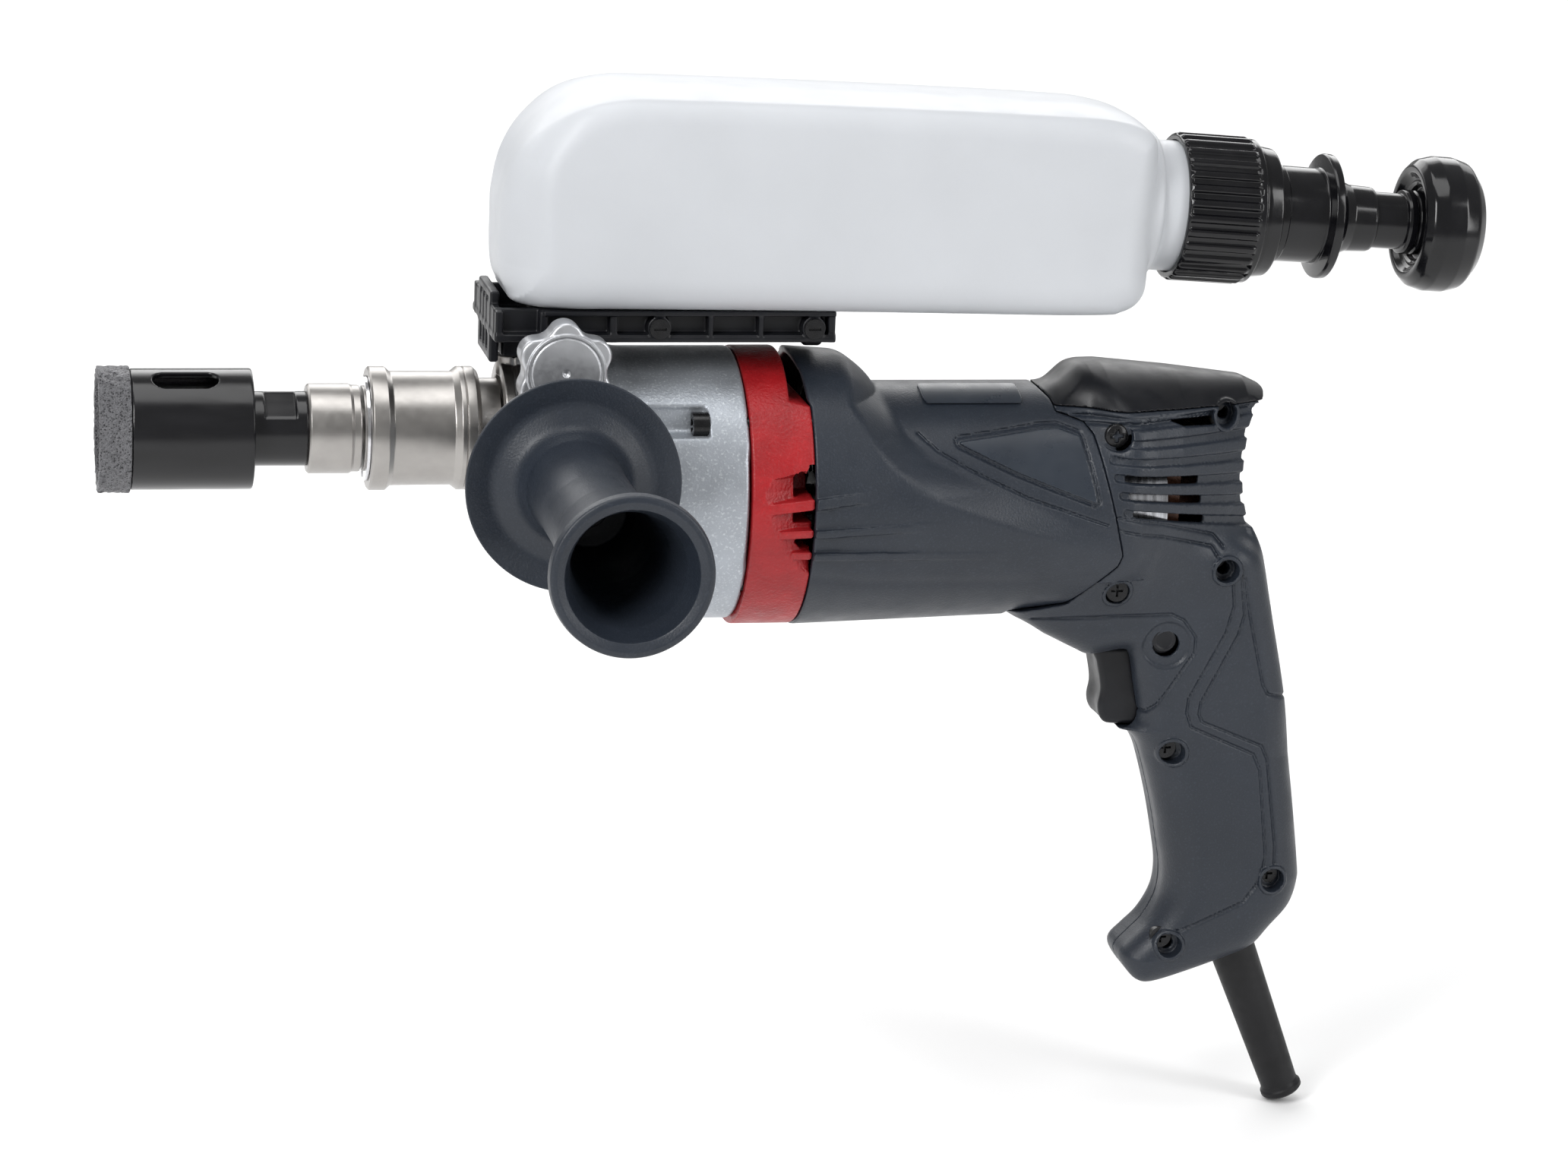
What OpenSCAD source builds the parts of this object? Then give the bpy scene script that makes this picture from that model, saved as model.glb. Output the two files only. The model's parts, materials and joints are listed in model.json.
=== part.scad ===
// Hand-held wet core drill for tile: core bit, quick-change chuck, two-stage gearing, universal
// motor, pistol grip, side handle, and a water bottle with a hand pump.
// Frame: X runs from the bit's cutting rim to the pump knob, Z is up, the side handle points to -Y.
// The origin is the centre of the cutting rim, on the spindle axis.

/* [Core bit] */
// Outer diameter of the diamond rim
bit_d = 40; // [36:0.5:41]
// Length of the diamond rim
rim_len = 10.3; // [8:0.1:12]
// Outer diameter of the bit's steel tube
tube_d = 38; // [34:0.5:38.5]
// Where the closed end of the tube lies
tube_end_x = 48.4; // [46:0.1:49]

/* [Chuck] */
// Outer diameter of the adapter collar
adapter_d = 28.4; // [26:0.1:30]
// Across flats of the adapter's hex shank
hex_af = 16; // [14:0.5:16.5]
// Outer diameter of the sleeve's flanges
sleeve_d = 39.2; // [37:0.1:42]
// How far the sleeve pulls back
sleeve_travel = 5; // [3:0.5:5.5]

/* [Gearbox] */
// Radius of the gear case barrel
case_r = 43.8; // [43:0.1:44.5]
// Height of the barrel axis under the spindle axis
case_z = -18; // [-18.4:0.1:-17.6]
// Teeth on the armature pinion
pinion_teeth = 9; // [9:1:9]
// Teeth on the countershaft's large gear
counter_teeth = 31; // [31:1:31]
// Teeth on the countershaft's small gear
counter_pinion_teeth = 11; // [11:1:11]
// Teeth on the spindle gear
spindle_teeth = 33; // [33:1:33]

/* [Motor] */
// Height of the motor axis under the spindle axis
motor_z = -24; // [-24:1:-24]
// Radius of the motor housing's front flange
flange_r = 45; // [44.5:0.1:45.5]
// Radius of the motor housing's rear barrel
barrel_r = 38.4; // [37.5:0.1:38.8]
// Radius of the armature core
armature_r = 16; // [15:0.5:17]

/* [Handles] */
// Thickness of the moulded shells
wall = 2.6; // [2.2:0.1:3]
// Trigger travel
trigger_travel = 6; // [4:0.5:6]
// Lock button travel
button_travel = 3; // [2:0.5:3.5]
// Side handle: radius of the guard flange
guard_flange_r = 33.7; // [30:0.1:35]
// Side handle: radius of the flared end
grip_end_r = 24; // [21:0.5:24.5]

/* [Water supply] */
// Bottle width across Y
bottle_w = 64; // [60:1:66]
// Bottle wall thickness
bottle_wall = 1.8; // [1.4:0.1:2.4]
// Pump tilt, nose-down towards the rear, in degrees
pump_tilt = 3.5; // [3:0.1:4]
// Pump knob diameter
knob_d = 44; // [40:0.5:46]
// Pump cylinder inner radius
pump_bore_r = 16; // [15:0.5:16]

/* [Hidden] */

fine = 96;
hull_fn = 32;
run = 0.05; // radial running clearance
snug = 0.02; // radial gap of a pressed or threaded pair

// stations along X
adapter_x0 = 65.5;
adapter_x1 = 82;
chuck_x0 = 82.9;
chuck_step_x = 102;
chuck_x1 = 125.4;
ball_x = 88;
sleeve_x0 = 84.5;
sleeve_land_x = 91.4;
sleeve_x1 = 119;
swivel_x0 = 126;
case_x0 = 134;
barrel_x0 = 152;
case_x1 = 203;
plate_x1 = 221;
gear_x0 = 176;
gear_x1 = 190;
counter_x0 = 193.5;
counter_x1 = 201.5;

// radii along the spindle
spindle_r = 8.5;
chuck_front_r = 13.5;
chuck_rear_r = 15.85;
thread_r = 7.6;
bore_r = 3;
ball_angles = [26, 146, 266];

// shaft seals in the water swivel
seal_x = [126.7, 131.8];
seal_w = 1.6;
seal_r = 10.4;

// gear geometry
module_1 = 1;
module_2 = 1.25;
dist_1 = module_1 * (pinion_teeth + counter_teeth) / 2;
dist_2 = module_2 * (counter_pinion_teeth + spindle_teeth) / 2;
counter_z = (dist_1 * dist_1 - dist_2 * dist_2 - motor_z * motor_z) / (-2 * motor_z);
counter_y = sqrt(dist_2 * dist_2 - counter_z * counter_z);

// long gear case screws, on a circle about the barrel axis
screw_ring_r = 40.6;
screw_angles = [39, 141, 219, 321];
screw_head_x = 188;

// side handle
side_x = 141.8;
side_z = -5;
side_stud_r = 5;
boss_y = 46;
guard_y = -61.4;
grip_end_y = -173.3;

// handle shell screws: x, z, y of the head's outer face
shell_screws = [[321.8, 3, -29.5], [325.3, -48.8, -27.5], [359, 10.6, -12], [361.6, -41, -15],
    [348.8, -106, -14], [387.2, -151, -13], [351.6, -172.4, -13]];
boss_r = 4.4;

// pump axis: passes the neck's mouth, then runs back and down
pump_x = 333;
pump_z = 73.1;

// water valve
knob_x = 140.8;
knob_z = 27.0;
knob_face_y = -46;

// ---------- helpers ----------

// cylinder along +X from x0 to x1
module xcyl(x0, x1, r, y = 0, z = 0, fn = fine)
    translate([x0, y, z]) rotate([0, 90, 0]) cylinder(r = r, h = x1 - x0, $fn = fn);

// cylinder along +Y from y0 to y1
module ycyl(y0, y1, r, x = 0, z = 0, fn = fine)
    translate([x, y1, z]) rotate([90, 0, 0]) cylinder(r = r, h = y1 - y0, $fn = fn);

// ring along +X
module xring(x0, x1, r_out, r_in, y = 0, z = 0)
    difference() {
        xcyl(x0, x1, r_out, y, z);
        xcyl(x0 - 1, x1 + 1, r_in, y, z);
    }

// solid of revolution about X from [x, r] points
module xlathe(points) rotate([0, 90, 0]) rotate_extrude($fn = fine)
    polygon([for (p = points) [p[1], p[0]]]);

// solid of revolution about the pump axis, s measured from the neck's mouth
module pump_axis() translate([pump_x, 0, pump_z]) rotate([0, pump_tilt, 0]) children();

// outline in XZ, extruded from y0 to y1
module plate_xz(points, y0, y1)
    translate([0, y1, 0]) rotate([90, 0, 0]) linear_extrude(height = y1 - y0) polygon(points);

// box from corner to corner
module box(a, b) translate(a) cube(b - a);

// helical spring along +X: centre radius r, wire radius w
function coil_point(i, a, steps, turns, r, w, len) =
    let (t = 360 * turns * i / steps, rr = r + w * cos(a))
    [len * i / steps + w * sin(a), rr * cos(t), rr * sin(t)];
module coil(len, r, w, turns) {
    steps = ceil(turns * 18);
    sides = 6;
    points = [for (i = [0:steps]) for (k = [0:sides - 1])
        coil_point(i, 360 * k / sides, steps, turns, r, w, len)];
    walls = [for (i = [0:steps - 1]) for (k = [0:sides - 1])
        [i * sides + k, i * sides + (k + 1) % sides, (i + 1) * sides + (k + 1) % sides,
         (i + 1) * sides + k]];
    start = [[for (k = [sides - 1:-1:0]) k]];
    end = [[for (k = [0:sides - 1]) steps * sides + k]];
    polyhedron(points, concat(walls, start, end));
}

// spur gear along +X, straight-flanked teeth with backlash
module gear(x0, x1, teeth, m, phase = 0) {
    pitch_r = m * teeth / 2;
    tip_r = pitch_r + 0.85 * m;
    root_r = pitch_r - 1.15 * m;
    step = 360 / teeth;
    points = [for (i = [0:teeth - 1]) for (q = [[root_r, -0.34], [pitch_r, -0.215], [tip_r, -0.085],
        [tip_r, 0.085], [pitch_r, 0.215], [root_r, 0.34]])
        let (a = (i + q[1]) * step + phase) [q[0] * cos(a), q[0] * sin(a)]];
    translate([x0, 0, 0]) rotate([90, 0, 90]) linear_extrude(height = x1 - x0) polygon(points);
}

// ---------- core bit and chuck ----------

module diamond_rim() color([0.16, 0.16, 0.17])
    xring(0, rim_len, bit_d / 2, tube_d / 2 - 2.4);

module bit_slot() {
    ycyl(-25, 25, 4, 21, 0);
    ycyl(-25, 25, 4, 33.5, 0);
    box([21, -25, -4], [33.5, 25, 4]);
}

module core_bit() color([0.07, 0.07, 0.08]) difference() {
    union() {
        xcyl(rim_len, tube_end_x + 2, tube_d / 2);
        xcyl(tube_end_x, adapter_x0, 11.75);
    }
    xcyl(rim_len - 1, tube_end_x - 3.4, tube_d / 2 - 1.8);
    xcyl(40, adapter_x0 + 1, 7);
    rotate([-67, 0, 0]) bit_slot();
    for (side = [0, 180]) rotate([side + 30, 0, 0]) box([52, -15, 10], [61.6, 15, 15]);
}

module bit_adapter() color([0.62, 0.6, 0.58]) difference() {
    union() {
        xcyl(53, adapter_x0 + 1, 7 - snug);
        xcyl(adapter_x0, 79.6, adapter_d / 2);
        xcyl(79.6, adapter_x1, adapter_d / 2 - 0.5);
        intersection() {
            xcyl(adapter_x1 - 1, 111.5, hex_af / 2 / cos(30), fn = 6);
            xcyl(adapter_x1 - 1, 111.5, hex_af / 2 / cos(30) - 0.3);
        }
    }
    xcyl(52, 112, bore_r);
    xring(ball_x - 3.4, ball_x + 3.4, 12, 7.3);
}

module chuck_body() color([0.55, 0.54, 0.53]) difference() {
    union() {
        xcyl(chuck_x0, chuck_step_x + 1, chuck_front_r);
        xcyl(chuck_step_x, chuck_x1, chuck_rear_r);
    }
    xcyl(chuck_x0 - 1, 112, (hex_af + 0.1) / 2 / cos(30), fn = 6);
    xcyl(111, chuck_x1 + 1, thread_r);
    for (a = ball_angles) rotate([a, 0, 0])
        translate([ball_x, 0, 5]) cylinder(r = 3.05, h = 12, $fn = fine);
    xring(83.3, 84.35, 14, 12.9);
}

module locking_balls() color("silver")
    for (a = ball_angles) rotate([a, 0, 0]) translate([ball_x, 0, 10.4]) sphere(r = 3, $fn = fine);

module chuck_spring() color("silver")
    translate([sleeve_land_x + 0.55, 0, 0]) coil(chuck_step_x - sleeve_land_x - 1.1, 14.8, 0.5, 3.5);

module chuck_clip() color("silver") difference() {
    xring(83.35, 84.3, 16.6, 12.95);
    box([83, -2.5, -20], [85, 2.5, -8]);
}

module chuck_sleeve() color([0.62, 0.6, 0.58]) difference() {
    union() {
        xcyl(sleeve_x0, 90.6, sleeve_d / 2);
        xlathe([[90.6, 0], [90.6, sleeve_d / 2], [92.2, 18], [92.2, 0]]);
        xcyl(92.2, 111, 18);
        xlathe([[111, 0], [111, 18], [112.4, sleeve_d / 2], [112.4, 0]]);
        xcyl(112.4, sleeve_x1, sleeve_d / 2);
    }
    xcyl(sleeve_x0 - 1, sleeve_x1 + 1, chuck_front_r + 0.3);
    xcyl(sleeve_land_x, sleeve_x1 + 1, chuck_rear_r + 0.3);
}

module water_swivel() color([0.6, 0.61, 0.62]) difference() {
    union() {
        xlathe([[swivel_x0, 0], [swivel_x0, 20.2], [swivel_x0 + 1.4, 21.65], [132.6, 21.65],
            [case_x0, 20.6], [case_x0, 0]]);
        translate([130, 0, 0]) cylinder(r = 3.9, h = 24, $fn = fine);
    }
    xcyl(swivel_x0 - 1, case_x0 + 1, spindle_r + 0.1);
    xring(129, 131, 12, 5);
    for (x = seal_x) xring(x, x + seal_w, seal_r, 5);
    translate([130, 0, 0]) cylinder(r = 2.5, h = 25, $fn = fine);
}

module swivel_seals() color([0.05, 0.05, 0.05])
    for (x = seal_x) xring(x + snug, x + seal_w - snug, seal_r - snug, spindle_r + 0.08);

module spindle() color([0.6, 0.6, 0.62]) difference() {
    union() {
        xcyl(112.2, chuck_x1 + 0.2, thread_r - snug);
        xcyl(chuck_x1, 150, spindle_r);
        xcyl(150, gear_x0, 10.4);
        xcyl(gear_x0, gear_x1 + 2, 9 - snug);
        xcyl(gear_x1 + 2, 203.4, 7.5);
        xcyl(203.4, 211.4, 4);
    }
    xcyl(112, 131.2, bore_r);
    translate([130, 0, -12]) cylinder(r = 1.8, h = 24, $fn = fine);
}

// ---------- gearbox ----------

module spindle_gear() color([0.45, 0.45, 0.46]) difference() {
    gear(gear_x0, gear_x1, spindle_teeth, module_2, gear_phase_spindle);
    xcyl(gear_x0 - 1, gear_x1 + 1, 9);
}

module bearing(x0, x1, r_out, r_in, y = 0, z = 0) difference() {
    xring(x0, x1, r_out, r_in, y, z);
    for (end = [x0 - 1, x1 - 0.8])
        xring(end, end + 1.8, r_out * 0.6 + r_in * 0.4 + 1, r_out * 0.4 + r_in * 0.6, y, z);
}

module spindle_bearings() color("silver") {
    bearing(136, 146, 17.5, spindle_r + run);
    bearing(204, 211, 11, 4 + run);
}

// direction from the countershaft to the spindle and to the motor, for meshing phases
to_spindle = atan2(-counter_z, -counter_y);
to_motor = atan2(motor_z - counter_z, -counter_y);
gear_phase_spindle = to_spindle + 180 - 180 / spindle_teeth;
gear_phase_counter = to_motor;
gear_phase_pinion = to_motor + 180 - 180 / pinion_teeth;

module countershaft() color([0.5, 0.5, 0.52]) translate([0, counter_y, counter_z]) {
    xcyl(161.8, 174, 4 - snug);
    gear(173.8, counter_x0 - 0.5, counter_pinion_teeth, module_2, to_spindle);
    xcyl(174, counter_x0, 5);
    xcyl(counter_x0 - 0.2, 209.8, 4 - snug);
}

module counter_gear() color([0.45, 0.45, 0.46]) translate([0, counter_y, counter_z]) difference() {
    gear(counter_x0, counter_x1, counter_teeth, module_1, gear_phase_counter);
    xcyl(counter_x0 - 1, counter_x1 + 1, 4);
}

module counter_bearings() color("silver") {
    bearing(161.5, 168, 8, 4 + run, counter_y, counter_z);
    bearing(204, 210, 8, 4 + run, counter_y, counter_z);
}

module at_screws() for (a = screw_angles)
    translate([0, screw_ring_r * cos(a), case_z + screw_ring_r * sin(a)]) children();

module gear_case() color([0.62, 0.64, 0.67]) difference() {
    union() {
        xcyl(case_x0, 150, 24);
        hull() {
            xcyl(140, 141, 24.5, fn = hull_fn);
            xcyl(barrel_x0 - 1, barrel_x0, case_r - 1, z = case_z, fn = hull_fn * 2);
        }
        xcyl(barrel_x0 - 1, case_x1, case_r, z = case_z);
        ycyl(-boss_y, boss_y, 13, side_x, side_z);
        box([case_x0, -16, 10], [154, 16, pad_z]);
    }
    xcyl(120, case_x0, 27);
    difference() {
        xcyl(168, case_x1 + 1, case_r - 3.4, z = case_z);
        at_screws() xcyl(167, case_x1 + 2, 5.6);
    }
    xcyl(case_x0 - 1, 146, 17.5);
    xcyl(145, 170, 12);
    xcyl(161.5, 170, 8, counter_y, counter_z);
    for (a = screw_angles) translate([0, 0, case_z]) rotate([a, 0, 0])
        box([146, 35.8, -4.6], [screw_head_x, 60, 4.6]);
    at_screws() xcyl(screw_head_x - 1, case_x1 + 1, 2.6);
    for (side = [-1, 1]) ycyl(side * (boss_y - 8) - 10, side * (boss_y - 8) + 10, side_stud_r,
        side_x, side_z);
    for (p = bracket_bolts) translate([p[0], p[1], 16]) cylinder(r = 2, h = 12, $fn = fine);
}
pad_z = 24.9;

module gear_case_screws() color([0.1, 0.1, 0.1]) at_screws() difference() {
    union() {
        xcyl(screw_head_x - 5, screw_head_x, 4.1);
        xcyl(screw_head_x - 0.5, 236, 2.5);
    }
    xcyl(screw_head_x - 6, screw_head_x - 2, 2.3, fn = 6);
}

module bearing_plate() color([0.66, 0.12, 0.13]) difference() {
    xcyl(case_x1, plate_x1, flange_r - 0.2, z = -18.8);
    xcyl(case_x1 - 1, 211, 11);
    xcyl(210, 212.4, 5);
    xcyl(212, plate_x1 + 1, 11, 0, motor_z);
    xcyl(case_x1 - 1, 213, 6.4, 0, motor_z);
    xcyl(case_x1 - 1, 210.6, 8, counter_y, counter_z);
    at_screws() xcyl(case_x1 - 1, plate_x1 + 1, 2.6);
}

// ---------- motor ----------

module armature_shaft() color([0.6, 0.6, 0.62]) translate([0, 0, motor_z]) {
    gear(194, 204, pinion_teeth, module_1, gear_phase_pinion);
    xcyl(203.8, 213, 3.2);
    xcyl(212.9, 221, 4);
    xcyl(220.9, 358, 5);
    xcyl(357.9, 364.4, 4);
}

module armature_core() color([0.4, 0.4, 0.42]) translate([0, 0, motor_z]) difference() {
    xcyl(284, 338, armature_r);
    xcyl(283, 339, 5);
    for (a = [0:30:330]) rotate([a, 0, 0]) {
        box([283, -1, armature_r - 4], [339, 1, armature_r + 1]);
        xcyl(283, 339, 2.2, 0, armature_r - 5);
    }
}

module armature_windings() color([0.72, 0.4, 0.2]) translate([0, 0, motor_z])
    for (end = [[275, 284], [338, 343]]) xring(end[0], end[1], armature_r - 2.4, 5);

module commutator() color([0.72, 0.45, 0.25]) translate([0, 0, motor_z]) difference() {
    xring(343.2, 356, 12, 5);
    for (a = [0:15:345]) rotate([a, 0, 0]) box([343, -0.25, 11], [355, 0.25, 13]);
}

module cooling_fan() color([0.12, 0.12, 0.13]) translate([0, 0, motor_z]) {
    xring(240, 242, 29, 5);
    xring(229, 241, 9, 5);
    for (a = [0:30:330]) rotate([a, 0, 0]) box([230, -0.8, 8.6], [240.4, 0.8, 28.6]);
}

module motor_bearings() color("silver") {
    bearing(212.9, 219.9, 11, 4 + run, 0, motor_z);
    bearing(358.1, 364.1, 9.5, 4 + run, 0, motor_z);
}

module stator_stack() color([0.66, 0.67, 0.7]) translate([0, 0, motor_z]) difference() {
    intersection() {
        xcyl(283, 340, 29.5);
        box([282, -30, -20], [341, 30, 20]);
    }
    xcyl(282, 341, armature_r + 0.7);
    for (side = [-1, 1]) box([282, side > 0 ? 19.5 : -25.5, -14], [341, side > 0 ? 25.5 : -19.5, 14]);
}

module field_coils() color([0.7, 0.36, 0.18]) translate([0, 0, motor_z])
    for (side = [-1, 1]) difference() {
        box([277, side > 0 ? 19.8 : -25.2, -13.7], [345, side > 0 ? 25.2 : -19.8, 13.7]);
        box([282.8, -40, -8], [340.2, 40, 8]);
    }

module brush_holders() color([0.72, 0.58, 0.3]) translate([0, 0, motor_z])
    for (side = [0, 180]) rotate([side, 0, 0]) difference() {
        box([346.6, -5, 13.2], [355.4, 5, 25]);
        box([348, -3.2, 12], [354, 3.2, 24]);
    }

module carbon_brushes() color([0.15, 0.15, 0.15]) translate([0, 0, motor_z])
    for (side = [0, 180]) rotate([side, 0, 0]) box([348.2, -3, 12.1], [353.8, 3, 21]);

// ---------- casings ----------

barrel_fn = 56;
tail_z = -23.6;
function ball_fn(t) = t > 0 ? 12 : 20;

// tail and barrel: a stack of blends; t insets every surface
module barrel_shape(t) {
    xcyl(plate_x1 - (t > 0 ? 1 : 0), 240, flange_r - t, z = -19.2, fn = barrel_fn);
    hull() {
        xcyl(238, 239, flange_r - t, z = -19.2, fn = barrel_fn);
        xcyl(262, 263, 39.4 - t, z = -24.2, fn = barrel_fn);
    }
    hull() {
        xcyl(262, 263, 39.4 - t, z = -24.2, fn = barrel_fn);
        xcyl(312, 313, barrel_r - t, z = tail_z, fn = barrel_fn);
    }
}

module tail_shape(t) {
    hull() {
        xcyl(t > 0 ? 280 : 285, 309, barrel_r - t, z = tail_z, fn = barrel_fn);
        for (y = [-10, 10]) for (z = [-6, -34]) xcyl(342, 343, 24 - t, y, z, fn = ball_fn(t) + 4);
        for (y = [-9, 9]) for (z = [-4, -44]) xcyl(366 - t, 368 - t, 14 - t, y, z, fn = ball_fn(t) + 4);
    }
    hull() {
        for (y = [-26, 26]) ycyl(y - 4 + t, y + 4 - t, 5.5 - t, 300, 15, fn = ball_fn(t));
        for (y = [-22, 22]) ycyl(y - 4 + t, y + 4 - t, 7 - t, 330, 14.5, fn = ball_fn(t));
        for (y = [-9, 9]) ycyl(y - 4 + t, y + 4 - t, 2.8 - t / 2, 373.5, 11.5, fn = ball_fn(t));
        for (y = [-14, 14]) ycyl(y - 4 + t, y + 4 - t, 8 - t, 355, 0, fn = ball_fn(t));
    }
}

// grip sections: front x, front z, back x, back z, edge radius, half width
grip_levels = [[316, -50, 362, -34, 10, 24], [334, -66, 372, -52, 9, 21], [350, -95, 378, -84, 10, 18],
    [362, -128, 384, -122, 13, 17.5], [367, -152, 387, -150, 12.5, 17.5]];
module grip_level(q, t) for (y = [-1, 1]) {
    translate([q[0], y * (q[5] - q[4]), q[1]]) sphere(r = q[4] - t, $fn = ball_fn(t));
    translate([q[2], y * (q[5] - q[4]), q[3]]) sphere(r = q[4] - t, $fn = ball_fn(t));
}
module grip_shape(t) {
    for (i = [0:len(grip_levels) - 2]) hull() {
        grip_level(grip_levels[i], t);
        grip_level(grip_levels[i + 1], t);
    }
    hull() {
        grip_level(grip_levels[4], t);
        for (y = [-5, 5]) {
            translate([390, y, -165]) sphere(r = 9 - t, $fn = ball_fn(t));
            translate([366, y, -174]) sphere(r = 11.5 - t, $fn = ball_fn(t));
        }
    }
    hull() for (y = [-5, 5]) {
        translate([385, y, -167]) sphere(r = 11 - t, $fn = ball_fn(t));
        translate([350, y, -178]) sphere(r = 11.3 - t, $fn = ball_fn(t));
        translate([346.4, y, -182.3]) sphere(r = 7.3 - t, $fn = ball_fn(t));
    }
}

// parting line between motor housing and handle shells, seen from the side
parting = [[288, 60], [288, 24], [300.4, 11.8], [309.3, 8], [312.3, 5.2], [317.3, -8.9],
    [323.3, -34], [322.8, -37.5], [305, -52.4], [291.6, -55], [291.6, -80]];
module front_zone() plate_xz(concat([[200, 60]], parting, [[200, -80]]), -60, 60);
module rear_zone() translate([0.3, 0, 0]) plate_xz(concat([[450, 60]], parting, [[291.6, -90],
    [291.6, -240], [450, -240]]), -60, 60);

module motor_housing() color([0.2, 0.22, 0.25]) difference() {
    intersection() {
        difference() {
            barrel_shape(0);
            difference() {
                barrel_shape(wall + 0.6);
                at_screws() xcyl(200, 238, 5.4);
            }
        }
        front_zone();
    }
    at_screws() xcyl(plate_x1 - 1, 237, 2.52);
}

module trigger_gap() plate_xz([[318, -71.8], [345, -71.8], [345, -100], [334, -100.2], [318, -103]],
    -9.4, 9.4);

module shell_bosses() for (p = shell_screws) ycyl(-60, 60, boss_r, p[0], p[1], fn = 16);

// side = -1 for the left shell, 1 for the right shell
module handle_shell(side) difference() {
    intersection() {
        union() {
            tail_shape(0);
            grip_shape(0);
        }
        rear_zone();
        box([280, side > 0 ? 0.05 : -60, -200], [460, side > 0 ? 60 : -0.05, 60]);
    }
    difference() {
        union() {
            tail_shape(wall);
            grip_shape(wall);
        }
        shell_bosses();
    }
    trigger_gap();
    plate_xz([[316, -78], [331.5, -72], [331.5, -100.8], [316, -100]], -60, 60);
    for (p = shell_screws) {
        ycyl(-60, side > 0 ? 14 : 60, side > 0 ? 1.95 : 2.1, p[0], p[1], fn = 16);
        if (side < 0) ycyl(-60, p[2] + 2.7, 3.95, p[0], p[1], fn = 18);
    }
    for (row = [0:2]) plate_xz([[324 + row * 2, -8 - row * 5.6], [354 + row * 2, -9.8 - row * 6.6],
        [354.5 + row * 2, -13 - row * 6.8], [325 + row * 2, -10.4 - row * 5.4]], -60, 60);
    if (side < 0) ycyl(-60, 0, 4.3, 344.5, -67.6, fn = 24);
    guard_axis() {
        translate([0, 0, -16]) cylinder(r = 7.6, h = 7.1, $fn = 24);
        translate([0, 0, -16]) cylinder(r = 6.8, h = 30, $fn = 24);
        translate([0, 0, -5.1]) cylinder(r = 8.2, h = 24, $fn = 24);
    }
}

module handle_left() color([0.2, 0.22, 0.25]) handle_shell(-1);
module handle_right() color([0.2, 0.22, 0.25]) handle_shell(1);

module handle_screws() color([0.08, 0.08, 0.08]) for (p = shell_screws) difference() {
    union() {
        ycyl(p[2], p[2] + 2.6, 3.6, p[0], p[1]);
        ycyl(p[2] + 2, 13, 1.85, p[0], p[1]);
    }
    box([p[0] - 2, p[2] - 1, p[1] - 0.4], [p[0] + 2, p[2] + 1.2, p[1] + 0.4]);
    box([p[0] - 0.4, p[2] - 1, p[1] - 2], [p[0] + 0.4, p[2] + 1.2, p[1] + 2]);
}

module rating_plate() color([0.3, 0.32, 0.35]) intersection() {
    difference() {
        barrel_shape(-0.5);
        barrel_shape(-0.02);
    }
    box([256, -31, 8.4], [286, -12, 20]);
}

badge = [[268, 1.5], [285, 5.5], [299, 7.4], [305, 4], [311.5, -18], [297, -12]];
module side_badges() color([0.16, 0.17, 0.19]) for (s = [-1, 1]) intersection() {
    plate_xz(badge, s > 0 ? 20 : -60, s > 0 ? 60 : -20);
    difference() {
        barrel_shape(-0.5);
        barrel_shape(-0.02);
    }
}

module switch_body() color([0.09, 0.09, 0.1]) {
    box([349.6, -11, -99], [372, 11, -64]);
    for (y = [-6, 6]) box([356, y - 1.5, -105], [360, y + 1.5, -99]);
}

trigger_outline = [[323, -74], [325.6, -79], [327.4, -88], [327.2, -96.5], [329.2, -99.4],
    [343, -99.4], [343, -72.4], [333, -72.4]];
module trigger() color([0.09, 0.09, 0.1]) {
    plate_xz(trigger_outline, -8.9, 8.9);
}

module trigger_spring() color("silver") translate([343.5, 0, -86]) coil(5.5, 3.4, 0.45, 3);

module lock_button() color([0.12, 0.12, 0.13]) {
    ycyl(-20, -15, 4, 344.5, -67.6);
    ycyl(-17.2, -14.6, 5.2, 344.5, -67.6);
}

guard_top = [379.6, -178];
guard_tilt = 22.2;
guard_len = 60;
module guard_axis() translate([guard_top[0], 0, guard_top[1]]) rotate([0, 180 - guard_tilt, 0])
    children();

module cord_guard() color([0.07, 0.07, 0.08]) guard_axis() rotate_extrude($fn = fine)
    polygon([[4, -12], [7.3, -12], [7.3, -9], [6.6, -9], [6.6, -5], [7.9, -1], [6.3, guard_len - 3],
        [7.1, guard_len - 2.4], [7.1, guard_len - 1], [6.4, guard_len], [4, guard_len]]);

module cord_clamp() color([0.15, 0.15, 0.15]) guard_axis() translate([0, 0, -20]) difference() {
    translate([-6.5, -9, 0]) cube([13, 18, 6]);
    translate([0, 0, -1]) cylinder(r = 4, h = 8, $fn = fine);
}

// ---------- side handle ----------

module side_lathe(points) translate([side_x, 0, side_z]) rotate([90, 0, 0])
    rotate_extrude($fn = fine) polygon([for (p = points) [p[1], -p[0]]]);

module side_handle() color([0.1, 0.105, 0.12])
    side_lathe([[-boss_y - 0.2, side_stud_r + 0.02], [-boss_y - 0.2, 13], [-50, 14.5], [-53.5, 20],
        [guard_y + 1.8, guard_flange_r], [guard_y, guard_flange_r - 0.6], [guard_y + 4, 25],
        [-60.5, 18], [-66, 15.6], [-76, 14.7], [-105, 14.6], [-130, 15.8], [-150, 18.2],
        [-164, 21.4], [grip_end_y + 3.5, grip_end_r], [grip_end_y + 0.6, grip_end_r - 0.6],
        [grip_end_y, grip_end_r - 2.4], [grip_end_y + 1, 19.6], [grip_end_y + 4, 18.6],
        [-164, 17], [-150, 14.6], [-130, 12.6], [-92, 11.4], [-92, side_stud_r + 0.02]]);

module handle_stud() color("silver") ycyl(-84, -30, side_stud_r - 0.02, side_x, side_z);

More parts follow.
